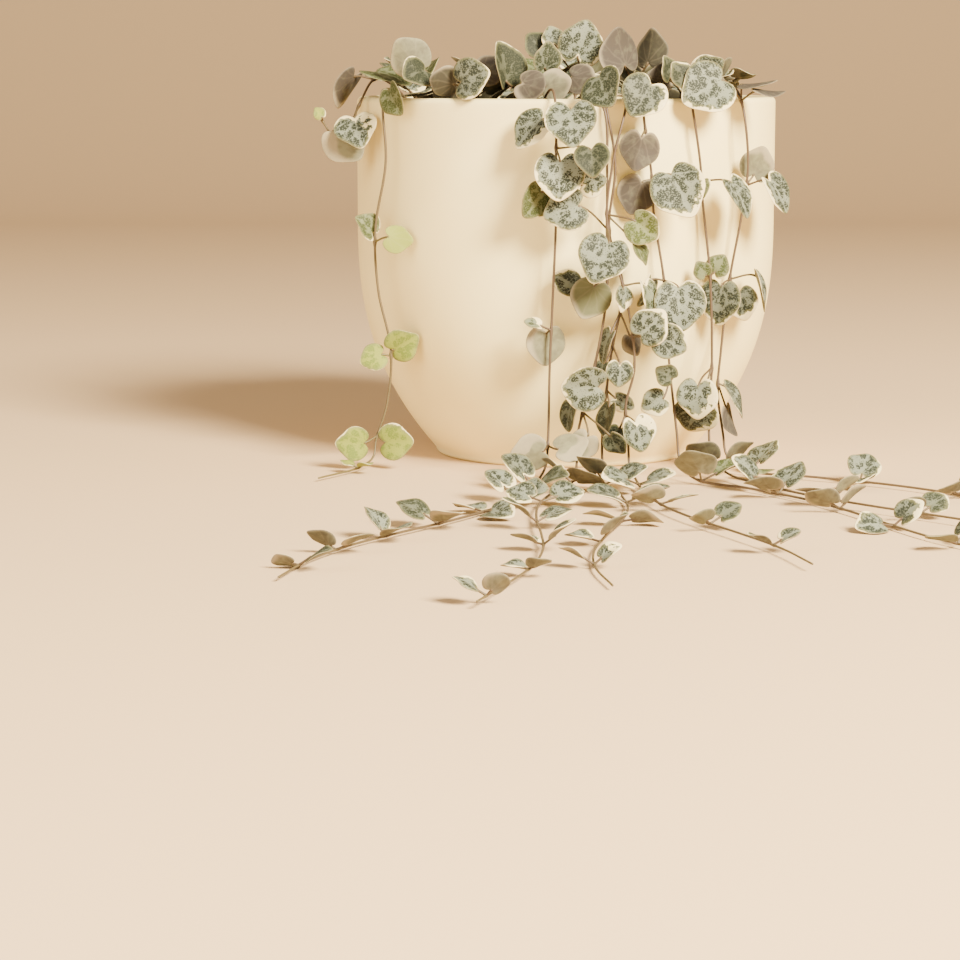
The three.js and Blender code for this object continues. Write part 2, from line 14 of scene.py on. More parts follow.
import bpy
import numpy as np
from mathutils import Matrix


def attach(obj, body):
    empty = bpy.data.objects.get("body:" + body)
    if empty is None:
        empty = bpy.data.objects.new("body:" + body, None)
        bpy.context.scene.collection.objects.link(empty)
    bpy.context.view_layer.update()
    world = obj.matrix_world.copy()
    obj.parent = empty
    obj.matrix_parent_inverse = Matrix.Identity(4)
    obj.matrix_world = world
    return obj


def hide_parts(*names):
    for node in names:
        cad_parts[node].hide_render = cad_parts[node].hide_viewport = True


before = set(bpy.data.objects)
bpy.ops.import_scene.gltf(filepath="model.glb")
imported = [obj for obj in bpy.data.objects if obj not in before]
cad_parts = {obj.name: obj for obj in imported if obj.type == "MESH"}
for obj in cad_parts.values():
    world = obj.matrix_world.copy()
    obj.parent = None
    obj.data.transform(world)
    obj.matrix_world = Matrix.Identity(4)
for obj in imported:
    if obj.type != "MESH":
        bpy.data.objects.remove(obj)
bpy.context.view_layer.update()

LOG = logging.getLogger("string_of_hearts")
BODY = "root"
MM = 0.001
DEG = math.pi / 180
UP = np.array([0.0, 0.0, 1.0])
VIEWER = np.array([0.0, -1.0, 0.0])

# A draw is the fraction of a large multiple of a sine, whose angle is a sum with these weights.
DRAW_WEIGHTS = (12.9898, 78.233)
GRID_WEIGHTS = (127.1, 311.7, 74.7)
MULTIPLE = 43758.5453

Point = tuple[float, float, float]


# ---- Numbers
def draw(seed: float, k: float) -> float:
    """Returns the k-th draw of a seed, from 0 to 1."""
    x = math.sin(seed * DRAW_WEIGHTS[0] + k * DRAW_WEIGHTS[1]) * MULTIPLE
    return x - math.floor(x)


def between(low: float, high: float, share: float) -> float:
    """Returns the value that lies at a share of the way from low to high."""
    return low + (high - low) * share


def unit(v: np.ndarray) -> np.ndarray:
    """Returns vectors of length 1 that point as the given ones do, along the last axis."""
    return v / np.linalg.norm(v, axis=-1, keepdims=True)


def squared_to(v: np.ndarray, axis: np.ndarray) -> np.ndarray:
    """Returns the direction of v after its part along the unit vector axis is taken out."""
    return unit(v - axis * np.sum(v * axis, axis=-1, keepdims=True))


def turned(v: np.ndarray, axis: np.ndarray, angle: float) -> np.ndarray:
    """Returns v, square to the unit vector axis, turned about it: v cos + (axis x v) sin."""
    return v * math.cos(angle) + np.cross(axis, v) * math.sin(angle)


def run_lengths(points: np.ndarray) -> np.ndarray:
    """Returns how far along a line of points each one is: the sum of the steps up to it."""
    return np.concatenate([[0], np.cumsum(np.linalg.norm(np.diff(points, axis=0), axis=1))])


def value_noise(x: np.ndarray, y: np.ndarray, size: float, seed: float) -> np.ndarray:
    """Smooth noise from 0 to 1 over a plane.

    Each corner of a square grid has a draw, and a point blends its four corners' draws with an S-curve.

    Args:
        x: First coordinate of each point.
        y: Second coordinate of each point.
        size: Width of a grid square, in the coordinates' unit.
        seed: Chooses the draws.

    Returns:
        The noise at each point.
    """
    column, row = np.floor(x / size), np.floor(y / size)
    s, t = x / size - column, y / size - row
    s, t = s * s * (3 - 2 * s), t * t * (3 - 2 * t)

    def corner(right: int, up: int) -> np.ndarray:
        """Returns the draw of the corner that is so many squares on."""
        angle = (column + right) * GRID_WEIGHTS[0] + (row + up) * GRID_WEIGHTS[1] + seed * GRID_WEIGHTS[2]
        return np.modf(np.abs(np.sin(angle) * MULTIPLE))[0]

    near, far = (corner(0, up) * (1 - s) + corner(1, up) * s for up in (0, 1))
    return near * (1 - t) + far * t


# ---- Closed surfaces
@dataclass
class Shell:
    """A closed surface: rings of points between two poles, as of a tube, a turned pot or a leaf.

    Attributes:
        points: The rings' points, ring by ring, then the first and the last pole.
        quads: Corners of the faces between rings.
        triangles: Corners of the faces round the poles.
        slots: The finish of each quad, and of each triangle.
        values: For each named attribute, a vector at each point.
    """

    points: np.ndarray
    quads: np.ndarray
    triangles: np.ndarray
    slots: tuple[np.ndarray, np.ndarray]
    values: dict[str, np.ndarray]


def closed_shell(
    rings: np.ndarray,
    poles: np.ndarray,
    values: Optional[dict[str, np.ndarray]] = None,
    slots: Optional[np.ndarray] = None,
) -> Shell:
    """Joins rings of points into a closed surface whose faces look out.

    Args:
        rings: Points, as ring by place on the ring by x, y, z.
        poles: The pole before the first ring and the one after the last.
        values: Named attributes, each a vector for every point in the shell's order.
        slots: The finish of each band of faces: the first pole's, those between rings, the last pole's.

    Returns:
        The shell. Its signed volume, the sum of each face's, tells whether it has to be turned.
    """
    count, around = rings.shape[:2]
    points = np.vstack([rings.reshape(-1, 3), poles])
    number = np.arange(count * around).reshape(count, around)
    beside = np.roll(number, -1, axis=1)
    quads = np.stack([number[:-1], beside[:-1], beside[1:], number[1:]], axis=-1).reshape(-1, 4)
    start = np.full(around, count * around)
    caps = [(start, beside[0], number[0]), (start + 1, number[-1], beside[-1])]
    triangles = np.vstack([np.stack(cap, axis=-1) for cap in caps])
    halves = np.vstack([quads[:, [0, 1, 2]], quads[:, [0, 2, 3]], triangles])
    a, b, c = (points[halves[:, i]] for i in range(3))
    if np.sum(a * np.cross(b, c)) < 0:
        quads, triangles = quads[:, ::-1], triangles[:, ::-1]
    bands = np.zeros(count + 1, dtype=int) if slots is None else slots
    finishes = (np.repeat(bands[1:-1], around), np.repeat(bands[[0, -1]], around))
    return Shell(points, quads, triangles, finishes, values or {})


def mesh_object(name: str, shells: list[Shell], finishes: list[bpy.types.Material]) -> bpy.types.Object:
    """Makes one object of several shells and puts it in the scene, with its place in its mesh.

    Args:
        name: The piece's name.
        shells: The shells, in millimetres.
        finishes: The materials that the shells' slots number.

    Returns:
        The object, smooth shaded, at the origin.
    """
    starts = np.cumsum([0] + [len(shell.points) for shell in shells[:-1]])
    quads = np.vstack([shell.quads + start for shell, start in zip(shells, starts)])
    triangles = np.vstack([shell.triangles + start for shell, start in zip(shells, starts)])
    slots = np.concatenate([shell.slots[kind] for kind in (0, 1) for shell in shells])
    mesh = bpy.data.meshes.new(name)
    points = np.vstack([shell.points for shell in shells]) * MM
    mesh.from_pydata(points.tolist(), [], quads.tolist() + triangles.tolist())
    mesh.polygons.foreach_set("material_index", slots.astype(np.int32))
    mesh.polygons.foreach_set("use_smooth", np.ones(len(mesh.polygons), dtype=bool))
    for key in shells[0].values:
        attribute = mesh.attributes.new(key, "FLOAT_VECTOR", "POINT")
        attribute.data.foreach_set("vector", np.vstack([s.values[key] for s in shells]).ravel())
    for finish in finishes:
        mesh.materials.append(finish)
    made = bpy.data.objects.new(name, mesh)
    bpy.context.collection.objects.link(made)
    return made


def stands_for(piece: bpy.types.Object, node: str) -> bpy.types.Object:
    """Puts a piece on the part's one body, in place of a node."""
    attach(piece, BODY)
    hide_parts(node)
    return piece


@dataclass
class Tube:
    """A round stem or petiole along a line, closed at both ends by a small dome.

    Attributes:
        line: Points of its middle.
        radii: Its radius at each one.
        sides: Points round it.
        far: How far along each one is.
        own: Sets its pattern off from the other tubes'.
        youth: How green each one is, from 0 to 1.
    """

    line: np.ndarray
    radii: np.ndarray
    sides: int
    far: np.ndarray
    own: float
    youth: np.ndarray

    DOME = 0.7  # how far an end stands out, in radii
    STRETCH = 0.25  # the streaks run this much slower along than round

    def shell(self) -> Shell:
        """Returns the tube's surface, with what its skin reads.

        Each point of the line carries a circle, square to the line's run there. The circles' zero angle
        points along the normal of the plane that the line lies nearest to, so they don't twist.
        """
        run = unit(np.gradient(self.line, axis=0))
        normal = np.linalg.svd(run, full_matrices=False)[2][-1]
        side = squared_to(np.broadcast_to(normal, run.shape), run)
        other = np.cross(run, side)
        angle = np.linspace(0, 2 * math.pi, self.sides, endpoint=False)[None, :, None]
        circles = side[:, None] * np.cos(angle) + other[:, None] * np.sin(angle)
        rings = self.line[:, None] + circles * self.radii[:, None, None]
        poles = [self.line[i] + sign * run[i] * self.radii[i] * self.DOME for i, sign in ((0, -1), (-1, 1))]
        zero = np.zeros(len(self.line))
        values = {"place": (zero, self.far * self.STRETCH, zero + self.own), "mood": (self.youth, zero, zero)}
        spread = {}
        for key, parts in values.items():
            value = np.stack(parts, axis=-1)
            spread[key] = np.vstack([np.repeat(value, self.sides, axis=0), value[0], value[-1]])
        return closed_shell(rings, np.stack(poles), spread)


def turned_shell(profile: np.ndarray, sides: int) -> Shell:
    """A turned solid: a profile of radii and heights that starts and ends on the axis, swung round it.

    Args:
        profile: Radius and height of each point, the first and the last with radius 0.
        sides: Points on each circle.

    Returns:
        The turned solid.
    """
    angle = np.linspace(0, 2 * math.pi, sides, endpoint=False)[None, :]
    radius, height = profile[1:-1, :1], profile[1:-1, 1:]
    rings = np.stack([radius * np.cos(angle), radius * np.sin(angle), height + 0 * angle], axis=-1)
    return closed_shell(rings, np.multiply.outer(profile[[0, -1], 1], UP))


# ---- Materials
Socket = bpy.types.NodeSocket
Input = Union[Socket, str, float, tuple]
S_CURVE = {"interpolation_type": "SMOOTHSTEP"}


def linear(code: str) -> tuple[float, float, float, float]:
    """Returns the linear colour of an sRGB hex value such as "#efe0c2"."""
    shares = [int(code[i : i + 2], 16) / 255 for i in (1, 3, 5)]
    return (*[s / 12.92 if s <= 0.04045 else ((s + 0.055) / 1.055) ** 2.4 for s in shares], 1.0)


class Recipe:
    """A material in the making: its node tree and its Principled shader."""

    def __init__(self, name: str) -> None:
        """Starts the material of that name."""
        self.material = bpy.data.materials.new(name)
        self.material.use_nodes = True
        self.tree = self.material.node_tree

    def fill(self, node: bpy.types.Node, inputs: dict[Any, Input]) -> None:
        """Fills a node's inputs.

        Args:
            node: The node.
            inputs: A socket to link, a hex colour or a value, for each input's name or number.
        """
        for key, value in inputs.items():
            if isinstance(value, Socket):
                self.tree.links.new(value, node.inputs[key])
            else:
                node.inputs[key].default_value = linear(value) if isinstance(value, str) else value

    def add(self, kind: str, inputs: dict[Any, Input], out: Union[int, str] = 0, **settings: Any) -> Socket:
        """Adds a node.

        Args:
            kind: The node's type, without its "ShaderNode".
            inputs: What fill takes.
            out: The output that is wanted, by its name or number.
            settings: The node's own settings.

        Returns:
            The output.
        """
        node = self.tree.nodes.new("ShaderNode" + kind)
        for key, value in settings.items():
            setattr(node, key, value)
        self.fill(node, inputs)
        return node.outputs[out]

    def layered(self, ground: Input, *coats: tuple[Input, Input]) -> Socket:
        """Lays coats of colour over a ground, one after another.

        Args:
            ground: The lowest colour.
            coats: Each coat's share, from 0 to 1, and its colour.

        Returns:
            The colour that they give.
        """
        for share, colour in coats:
            # A Mix node's two colours are its inputs 6 and 7, and the mixed one is its output 2.
            ground = self.add("Mix", {0: share, 6: ground, 7: colour}, 2, data_type="RGBA")
        return ground

    def shaded(self, inputs: dict[Any, Input]) -> bpy.types.Material:
        """Fills the Principled shader's inputs and returns the material."""
        self.fill(self.tree.nodes["Principled BSDF"], inputs)
        return self.material


@dataclass(frozen=True)
class CeramicFinish:
    """Earthenware with a matt cream glaze, sprayed on a turned and sponged body.

    The eye gets an even, warm, eggshell surface with wide soft lights, very faint clouding where the
    glaze lies thicker, and a fine, shallow unevenness.
    """

    glaze: str = "#f8e9a8"
    thin_glaze: str = "#f3e19e"
    cloud: float = 34.0
    sponge: float = 1.6
    depth: float = 0.12
    roughness: float = 0.46
    ior: float = 1.5

    def material(self) -> bpy.types.Material:
        """Returns the glaze: two creams blended by clouds, and a bump of sponge marks."""
        on = Recipe("glazed_earthenware")
        place = on.add("TexCoord", {}, "Object")
        clouds = on.add("TexNoise", {"Vector": place, "Scale": 1 / (self.cloud * MM), "Detail": 2.0})
        patchy = on.add("MapRange", {"Value": clouds, "From Min": 0.35, "From Max": 0.7})
        marks = on.add("TexNoise", {"Vector": place, "Scale": 1 / (self.sponge * MM), "Detail": 3.0})
        bump = on.add("Bump", {"Height": marks, "Strength": 0.12, "Distance": self.depth * MM})
        colour = on.layered(self.glaze, (patchy, self.thin_glaze))
        look = {"Base Color": colour, "Normal": bump, "Roughness": self.roughness, "IOR": self.ior}
        return on.shaded(look)


@dataclass(frozen=True)
class SoilFinish:
    """Peaty potting soil, crumbled by hand: nearly black and fully matt, with brown fibres and crumbs."""

    dark: str = "#241a13"
    brown: str = "#4d3a2a"
    crumb: float = 2.2
    grit: float = 0.6
    depth: float = 0.8
    roughness: float = 0.95

    def material(self) -> bpy.types.Material:
        """Returns the soil: crumbs of two browns and a bump of grit."""
        on = Recipe("potting_soil")
        place = on.add("TexCoord", {}, "Object")
        crumbs = on.add("TexVoronoi", {"Vector": place, "Scale": 1 / (self.crumb * MM), "Randomness": 1.0})
        grit = on.add("TexNoise", {"Vector": place, "Scale": 1 / (self.grit * MM), "Detail": 3.0})
        shade = on.add("Math", {0: crumbs, 1: grit}, operation="MULTIPLY")
        share = on.add("MapRange", {"Value": shade, "From Min": 0.1, "From Max": 0.45})
        bump = on.add("Bump", {"Height": shade, "Strength": 0.7, "Distance": self.depth * MM})
        colour = on.layered(self.dark, (share, self.brown))
        return on.shaded({"Base Color": colour, "Normal": bump, "Roughness": self.roughness})


@dataclass(frozen=True)
class StemFinish:
    """A thin living stem, smooth and slightly waxy: purplish brown, greener in places."""

    brown: str = "#5a4833"
    purple: str = "#4b392b"
    green: str = "#66612f"
    streak: float = 9.0
    roughness: float = 0.5

    def material(self) -> bpy.types.Material:
        """Returns the skin: brown and purple in long streaks, and green by the stem's youth."""
        on = Recipe("living_stem")
        place, mood = (on.add("Attribute", {}, "Vector", attribute_name=key) for key in ("place", "mood"))
        youth = on.add("SeparateXYZ", {0: mood}, "X")
        streaks = on.add("TexNoise", {"Vector": place, "Scale": 1 / self.streak, "Detail": 2.0})
        skin = on.layered(self.brown, (streaks, self.purple), (youth, self.green))
        return on.shaded({"Base Color": skin, "Roughness": self.roughness})


class LeafRecipe(Recipe):
    """A leaf's material in the making, with what the leaf's attributes say of a point on it.

    They say its place on the leaf, its distance from the margin (edge) and the cream's width there, all
    in millimetres, and the leaf's darkness, youth and blush.
    """

    def __init__(self, name: str) -> None:
        """Starts the material of that name."""
        super().__init__(name)
        self.place, tone, mood = (
            self.add("Attribute", {}, "Vector", attribute_name=key) for key in ("place", "tone", "mood")
        )
        self.edge, self.cream, self.dark = (self.add("SeparateXYZ", {0: tone}, axis) for axis in "XYZ")
        self.youth, self.blush = (self.add("SeparateXYZ", {0: mood}, axis) for axis in "XY")
        self.across, self.along, self.own = (self.add("SeparateXYZ", {0: self.place}, a) for a in "XYZ")


@dataclass(frozen=True)
class LeafFinish:
    """A thick, waxy living leaf, grown with a marbled upper side and a plain underside.

    The eye gets silvery green with clusters of small dark green specks that leave the midrib and the
    side veins clear, then a band of warmer green, an uneven cream margin with a flush of pink, and a
    satin skin. The underside runs from pale olive to mauve, faintly veined and clouded.
    """

    silver: str = "#858b7a"
    silver_shade: str = "#6f7566"
    deep: str = "#4e503f"
    cloud: str = "#6c7161"
    deep_cloud: str = "#37382a"
    # Near black that the darkest leaves go towards: a dark leaf's own colour, and painted shade on leaves in
    # the crown's shade.
    dark_and_shade: str = "#14150d"
    speck: str = "#2e332a"
    speck_shade: str = "#232820"
    band: str = "#76764e"
    cream: str = "#efe0b6"
    cream_shade: str = "#cfc48c"
    flush: str = "#b08672"
    lime: str = "#828b3a"
    lime_cloud: str = "#768136"
    lime_speck: str = "#66752f"
    olive: str = "#7d7b60"
    mauve: str = "#47413a"
    # Umber that darkens a dark leaf's underside: its own colour, and painted shade on leaves in the crown's
    # shade.
    umber: str = "#2a2b1b"
    pale_edge: str = "#a99c80"
    # Sizes of the patterns, in millimetres.
    speck_size: float = 0.55
    cluster_size: float = 3.3
    push_size: float = 1.7
    wisp_size: float = 2.4
    cloud_size: float = 9.0
    under_cloud_size: float = 3.2
    vein_bend_size: float = 6.0
    skin: float = 0.5
    depth: float = 0.1
    # Where specks gather.
    speck_pull: float = 0.21  # how much likelier a speck is inside a cluster
    push: float = 2.2  # how far noise pushes the clusters about
    midrib: float = 1.3  # how wide the midrib is kept clear, to each side
    clear: tuple[float, float] = (0.7, 0.3)  # how near a side vein clusters are held off, and specks faint
    vein_hold: float = 0.2  # how much a side vein holds clusters off
    fine_clear: float = 0.4  # how faint the specks get on it
    dark_pull: float = 0.23  # how much a dark leaf widens its clusters
    # How dark leaves turn: powers of the darkness, and the most that the near black and the umber
    # cover. This is a dark leaf's own colour, and painted shade on leaves in the crown's shade.
    deep_power: float = 1.6
    dark_and_shade_power: float = 4.0
    dark_and_shade_share: float = 0.5
    umber_power: float = 2.0
    umber_share: float = 0.7
    lime_power: float = 2.0
    # The side veins: degrees from one to the next, where the first is and how far noise bends them, as
    # shares of that, and how wide and how pale they are on the underside.
    vein_angle: float = 31.0
    vein_start: float = -0.4
    vein_bend: float = 0.8
    vein_width: float = 0.5
    vein_tint: float = 0.06
    roughness: float = 0.6
    gloss: float = 0.13

    def upper(self) -> bpy.types.Material:
        """Returns the upper side.

        Noise at the specks' size, raised in the clusters, is cut off sharply into specks. The ground and
        the specks darken with the leaf and turn lime with its youth. The darkest leaves also go towards
        near black, which is painted shade on leaves in the crown's shade.
        """
        on = LeafRecipe("waxy_leaf_marbled")
        vein, fine_vein = (self.veins(on, width) for width in self.clear)
        gathered = self.clusters(on, vein)
        grains = {"Vector": on.place, "Scale": 1 / self.speck_size, "Detail": 1.5, "Roughness": 0.6}
        grains = on.add("TexNoise", grains)
        likely = on.add("Math", {0: gathered, 1: self.speck_pull, 2: grains}, operation="MULTIPLY_ADD")
        speck = on.add("MapRange", {"Value": likely, "From Min": 0.62, "From Max": 0.69}, **S_CURVE)
        cloudy = on.add("TexNoise", {"Vector": on.place, "Scale": 1 / self.cloud_size, "Detail": 1.0})
        deeper = on.add("Math", {0: on.dark, 1: self.deep_power}, operation="POWER")
        silver = on.layered(self.silver, (cloudy, self.silver_shade), (deeper, self.deep))
        cloud = on.layered(self.cloud, (deeper, self.deep_cloud))
        young = on.layered(self.lime, (gathered, self.lime_cloud))
        ground = on.layered(silver, (gathered, cloud), (on.youth, young))
        specks = on.layered(self.speck, (cloudy, self.speck_shade), (on.youth, self.lime_speck))
        clear = on.add("Math", {0: fine_vein, 1: self.fine_clear}, operation="MULTIPLY")
        # The darkest leaves go towards near black: their own colour, and painted shade on leaves in the
        # crown's shade.
        dark_and_shade = on.add("Math", {0: on.dark, 1: self.dark_and_shade_power}, operation="POWER")
        dark_and_shade = on.add("Math", {0: dark_and_shade, 1: self.dark_and_shade_share}, operation="MULTIPLY")
        marbled = on.layered(ground, (speck, specks), (clear, ground), (dark_and_shade, self.dark_and_shade))
        relief = on.add("Math", {0: vein, 1: -1.0, 2: speck}, operation="MULTIPLY_ADD")
        return self.skinned(on, self.bordered(on, marbled), relief)

    def bordered(self, on: LeafRecipe, marbled: Socket) -> Socket:
        """Lays the margin over the marbling.

        Cream covers what is nearer the margin than the leaf's cream width there, which noise makes
        ragged. A band of warmer green lies along it, and a flush of pink at the very rim.

        Args:
            on: The material in the making.
            marbled: The colour inside the margin.

        Returns:
            The colour.
        """
        wisps = on.add("TexNoise", {"Vector": on.place, "Scale": 1 / self.wisp_size, "Detail": 2.0})
        ragged = {"Value": wisps, "From Min": 0.3, "From Max": 0.7, "To Min": 0.2, "To Max": 1.5}
        reach = on.add("Math", {0: on.cream, 1: on.add("MapRange", ragged)}, operation="MULTIPLY")
        inside = on.add("Math", {0: on.edge, 1: reach}, operation="SUBTRACT")
        warm = {"Value": inside, "From Min": 0.0, "From Max": 1.3, "To Min": 0.5, "To Max": 0.0}
        margin = {"Value": inside, "From Min": -0.4, "From Max": 0.1, "To Min": 1.0, "To Max": 0.0}
        rim = {"Value": on.edge, "From Min": 0.0, "From Max": 0.4, "To Min": 0.35, "To Max": 0.0}
        flush = on.add("Math", {0: on.add("MapRange", rim), 1: on.blush}, operation="MULTIPLY")
        return on.layered(
            marbled,
            (on.add("MapRange", warm, **S_CURVE), self.band),
            (on.add("MapRange", margin, **S_CURVE), on.layered(self.cream, (wisps, self.cream_shade))),
            (flush, self.flush),
        )

    def clusters(self, on: LeafRecipe, vein: Socket) -> Socket:
        """Works out how thickly specks gather.

        They gather in round, uneven clusters. How near a cluster's middle is comes from cells of the
        clusters' spacing, pushed about by noise. The leaf's darkness and the nearness of the margin bring
        it closer, the midrib and the side veins push it away, and noise does either.

        Args:
            on: The material in the making.
            vein: How near a side vein is, from 0 to 1.

        Returns:
            The gathering, from 0 to 1.
        """
        swirl = {"Vector": on.place, "Scale": 1 / self.push_size, "Detail": 2.0}
        pushed = {0: on.add("TexNoise", swirl, "Color"), 1: (self.push, self.push, 0.0), 2: on.place}
        pushed = on.add("VectorMath", pushed, operation="MULTIPLY_ADD")
        apart = on.add("CombineXYZ", {"X": on.own, "Y": on.own})
        cell = on.add("VectorMath", {0: pushed, 1: apart}, operation="ADD")
        cell = {"Vector": cell, "Scale": 1 / self.cluster_size, "Randomness": 0.8}
        beside = on.add("Math", {0: on.across}, operation="ABSOLUTE")
        clear = {"Value": beside, "From Max": self.midrib, "To Min": 0.2, "To Max": 0.0}
        rim = {"Value": on.edge, "From Min": 1.0, "From Max": 4.0, "To Min": -0.08, "To Max": 0.0}
        patches = on.add("TexNoise", {"Vector": on.place, "Scale": 1 / self.cloud_size})
        uneven = {"Value": patches, "From Min": 0.3, "From Max": 0.7, "To Min": -0.15, "To Max": 0.15}
        lit = {0: on.dark, 1: -self.dark_pull, 2: on.add("MapRange", rim)}
        parted = {0: vein, 1: self.vein_hold, 2: on.add("MapRange", clear, **S_CURVE)}
        lit, parted = (on.add("Math", parts, operation="MULTIPLY_ADD") for parts in (lit, parted))
        moved = on.add("Math", {0: lit, 1: parted}, operation="ADD")
        moved = on.add("Math", {0: moved, 1: on.add("MapRange", uneven)}, operation="ADD")
        away = {0: on.add("TexVoronoi", cell, voronoi_dimensions="2D"), 1: moved}
        away = on.add("Math", away, operation="ADD")
        near = {"Value": away, "From Min": 0.27, "From Max": 0.62, "To Min": 1.0, "To Max": 0.0}
        return on.add("MapRange", near, **S_CURVE)

    def veins(self, on: LeafRecipe, width: float) -> Socket:
        """Works out how near a side vein is.

        The veins fan out from the petiole's joint at even angles. A point's angle about the joint,
        divided by the angle between veins, is a whole number on a vein: its distance from the nearest
        whole number, times that angle and the point's radius, is the distance from the vein. Noise bends
        the veins a little.

        Args:
            on: The material in the making.
            width: How far from a vein its mask reaches.

        Returns:
            The nearness, from 0 to 1.
        """
        step = self.vein_angle * DEG
        bends = on.add("TexNoise", {"Vector": on.place, "Scale": 1 / self.vein_bend_size})
        angle = on.add("Math", {0: on.across, 1: on.along}, operation="ARCTAN2")
        steps = on.add("Math", {0: angle, 1: 1 / step, 2: self.vein_start}, operation="MULTIPLY_ADD")
        bent = on.add("Math", {0: bends, 1: self.vein_bend, 2: steps}, operation="MULTIPLY_ADD")
        whole = on.add("Math", {0: bent}, operation="ROUND")
        apart = on.add("Math", {0: bent, 1: whole}, operation="SUBTRACT")
        beside = on.add("Math", {0: apart}, operation="ABSOLUTE")
        flat = on.add("CombineXYZ", {"X": on.across, "Y": on.along})
        radius = on.add("VectorMath", {0: flat}, "Value", operation="LENGTH")
        far = on.add("Math", {0: beside, 1: radius}, operation="MULTIPLY")
        near = {"Value": far, "From Min": 0.0, "From Max": width / step, "To Min": 1.0, "To Max": 0.0}
        return on.add("MapRange", near, **S_CURVE)

    def under(self) -> bpy.types.Material:
        """Returns the underside: olive to mauve by blush, umber on a dark leaf, partly painted shade, and
        faintly veined.
        """
        on = LeafRecipe("waxy_leaf_underside")
        clouds = {"Vector": on.place, "Scale": 1 / self.under_cloud_size, "Detail": 4.0, "Distortion": 0.5}
        clouds = on.add("TexNoise", clouds)
        swing = {"Value": clouds, "From Min": 0.3, "From Max": 0.7, "To Min": -0.3, "To Max": 0.3}
        mauve = {0: on.blush, 1: on.add("MapRange", swing)}
        young = on.add("Math", {0: on.youth, 1: self.lime_power}, operation="POWER")
        # Umber by darkness: a dark leaf's own colour, and painted shade on leaves in the crown's shade.
        dark = on.add("Math", {0: on.dark, 1: self.umber_power}, operation="POWER")
        vein = on.add("Math", {0: self.veins(on, self.vein_width), 1: self.vein_tint}, operation="MULTIPLY")
        inside = on.add("Math", {0: on.edge, 1: on.cream}, operation="SUBTRACT")
        margin = {"Value": inside, "From Min": -1.2, "From Max": 0.8, "To Min": 0.6, "To Max": 0.0}
        colour = on.layered(
            self.olive,
            (on.add("Math", mauve, operation="ADD", use_clamp=True), self.mauve),
            (young, self.lime),
            (on.add("Math", {0: dark, 1: self.umber_share}, operation="MULTIPLY"), self.umber),
            (vein, self.pale_edge),
            (on.add("MapRange", margin, **S_CURVE), self.pale_edge),
        )
        return self.skinned(on, colour, vein)

    def skinned(self, on: LeafRecipe, colour: Socket, relief: Socket) -> bpy.types.Material:
        """Gives the leaf its waxy skin: its gloss, a fine grain and a relief that follows the pattern.

        Args:
            on: The material in the making.
            colour: The leaf's colour.
            relief: A pattern from 0 to 1 that stands a little proud.

        Returns:
            The material.
        """
        grain = on.add("TexNoise", {"Vector": on.place, "Scale": 1 / self.skin, "Detail": 2.0})
        height = on.add("Math", {0: relief, 1: 0.5, 2: grain}, operation="MULTIPLY_ADD")
        bump = on.add("Bump", {"Height": height, "Strength": 0.25, "Distance": self.depth * MM})
        look = {"Base Color": colour, "Normal": bump, "Roughness": self.roughness}
        return on.shaded(look | {"Specular IOR Level": self.gloss})


@dataclass(frozen=True)
class PaperFinish:
    """The pale seamless paper that the pot stands on: matt and even."""

    tint: str = "#d3b78f"

    def material(self) -> bpy.types.Material:
        """Returns plain matt paper."""
        look = {"Base Color": self.tint, "Roughness": 0.9, "Specular IOR Level": 0.2}
        return Recipe("seamless_paper").shaded(look)


# ---- Pot and soil
@dataclass(frozen=True)
class Pot:
    """The pot: one turned ceramic wall with a round belly, a plain rim and a flat foot.

    Attributes:
        rim: Outer radius at the rim.
        foot: Outer radius at the foot.
        height: Height of the rim.
        wall: Thickness of the wall.
        floor: Thickness of the bottom.
        belly: Height from which the wall is upright.
        roundness: Power of the curve from the foot to the belly.
        edge: Radius of the rounded foot edge.
        flat: How far out the foot has no points, as a share of its radius.
        sides: Points round it.
    """

    rim: float = 79.5
    foot: float = 48.0
    height: float = 136.0
    wall: float = 4.0
    floor: float = 6.0
    belly: float = 90.0
    roundness: float = 2.6
    edge: float = 1.9
    flat: float = 0.6
    sides: int = 192

    # Points on the rounded foot edge, the wall outside, the rounded rim and the wall inside.
    FOOT_POINTS, OUTER_POINTS, RIM_POINTS, INNER_POINTS = 7, 70, 13, 50

    def radius(self, z: np.ndarray) -> np.ndarray:
        """Returns the outer radius at a height: foot + (rim - foot)(1 - (1 - z / belly)^roundness)."""
        low = np.maximum(0, 1 - np.asarray(z) / self.belly)
        return self.foot + (self.rim - self.foot) * (1 - low**self.roundness)

    def profile(self) -> np.ndarray:
        """Returns the pot's outline from the axis under the foot, over the rim, to the axis inside."""
        half = self.wall / 2
        turn = np.linspace(0, math.pi / 2, self.FOOT_POINTS)[:-1]
        over = np.linspace(0, math.pi, self.RIM_POINTS)[1:-1]
        z_out = np.linspace(self.edge, self.height - half, self.OUTER_POINTS)
        z_in = np.linspace(self.height - half, self.floor, self.INNER_POINTS)
        stretches = [
            (self.radius(self.edge) - self.edge * (1 - np.sin(turn)), self.edge * (1 - np.cos(turn))),
            (self.radius(z_out), z_out),
            (self.rim - half + half * np.cos(over), self.height - half + half * np.sin(over)),
            (self.radius(z_in) - self.wall, z_in),
        ]
        bottom = [[0.0, 0.0], [self.foot * self.flat, 0.0]]
        walls = [np.stack(stretch, axis=-1) for stretch in stretches]
        return np.vstack([bottom, *walls, [[0.0, self.floor]]])

    def build(self, finish: CeramicFinish) -> bpy.types.Object:
        """Makes the pot, with its glaze, in place of its faceted solid, and returns it."""
        pot = mesh_object("pot_turned", [turned_shell(self.profile(), self.sides)], [finish.material()])
        return stands_for(pot, "pot")


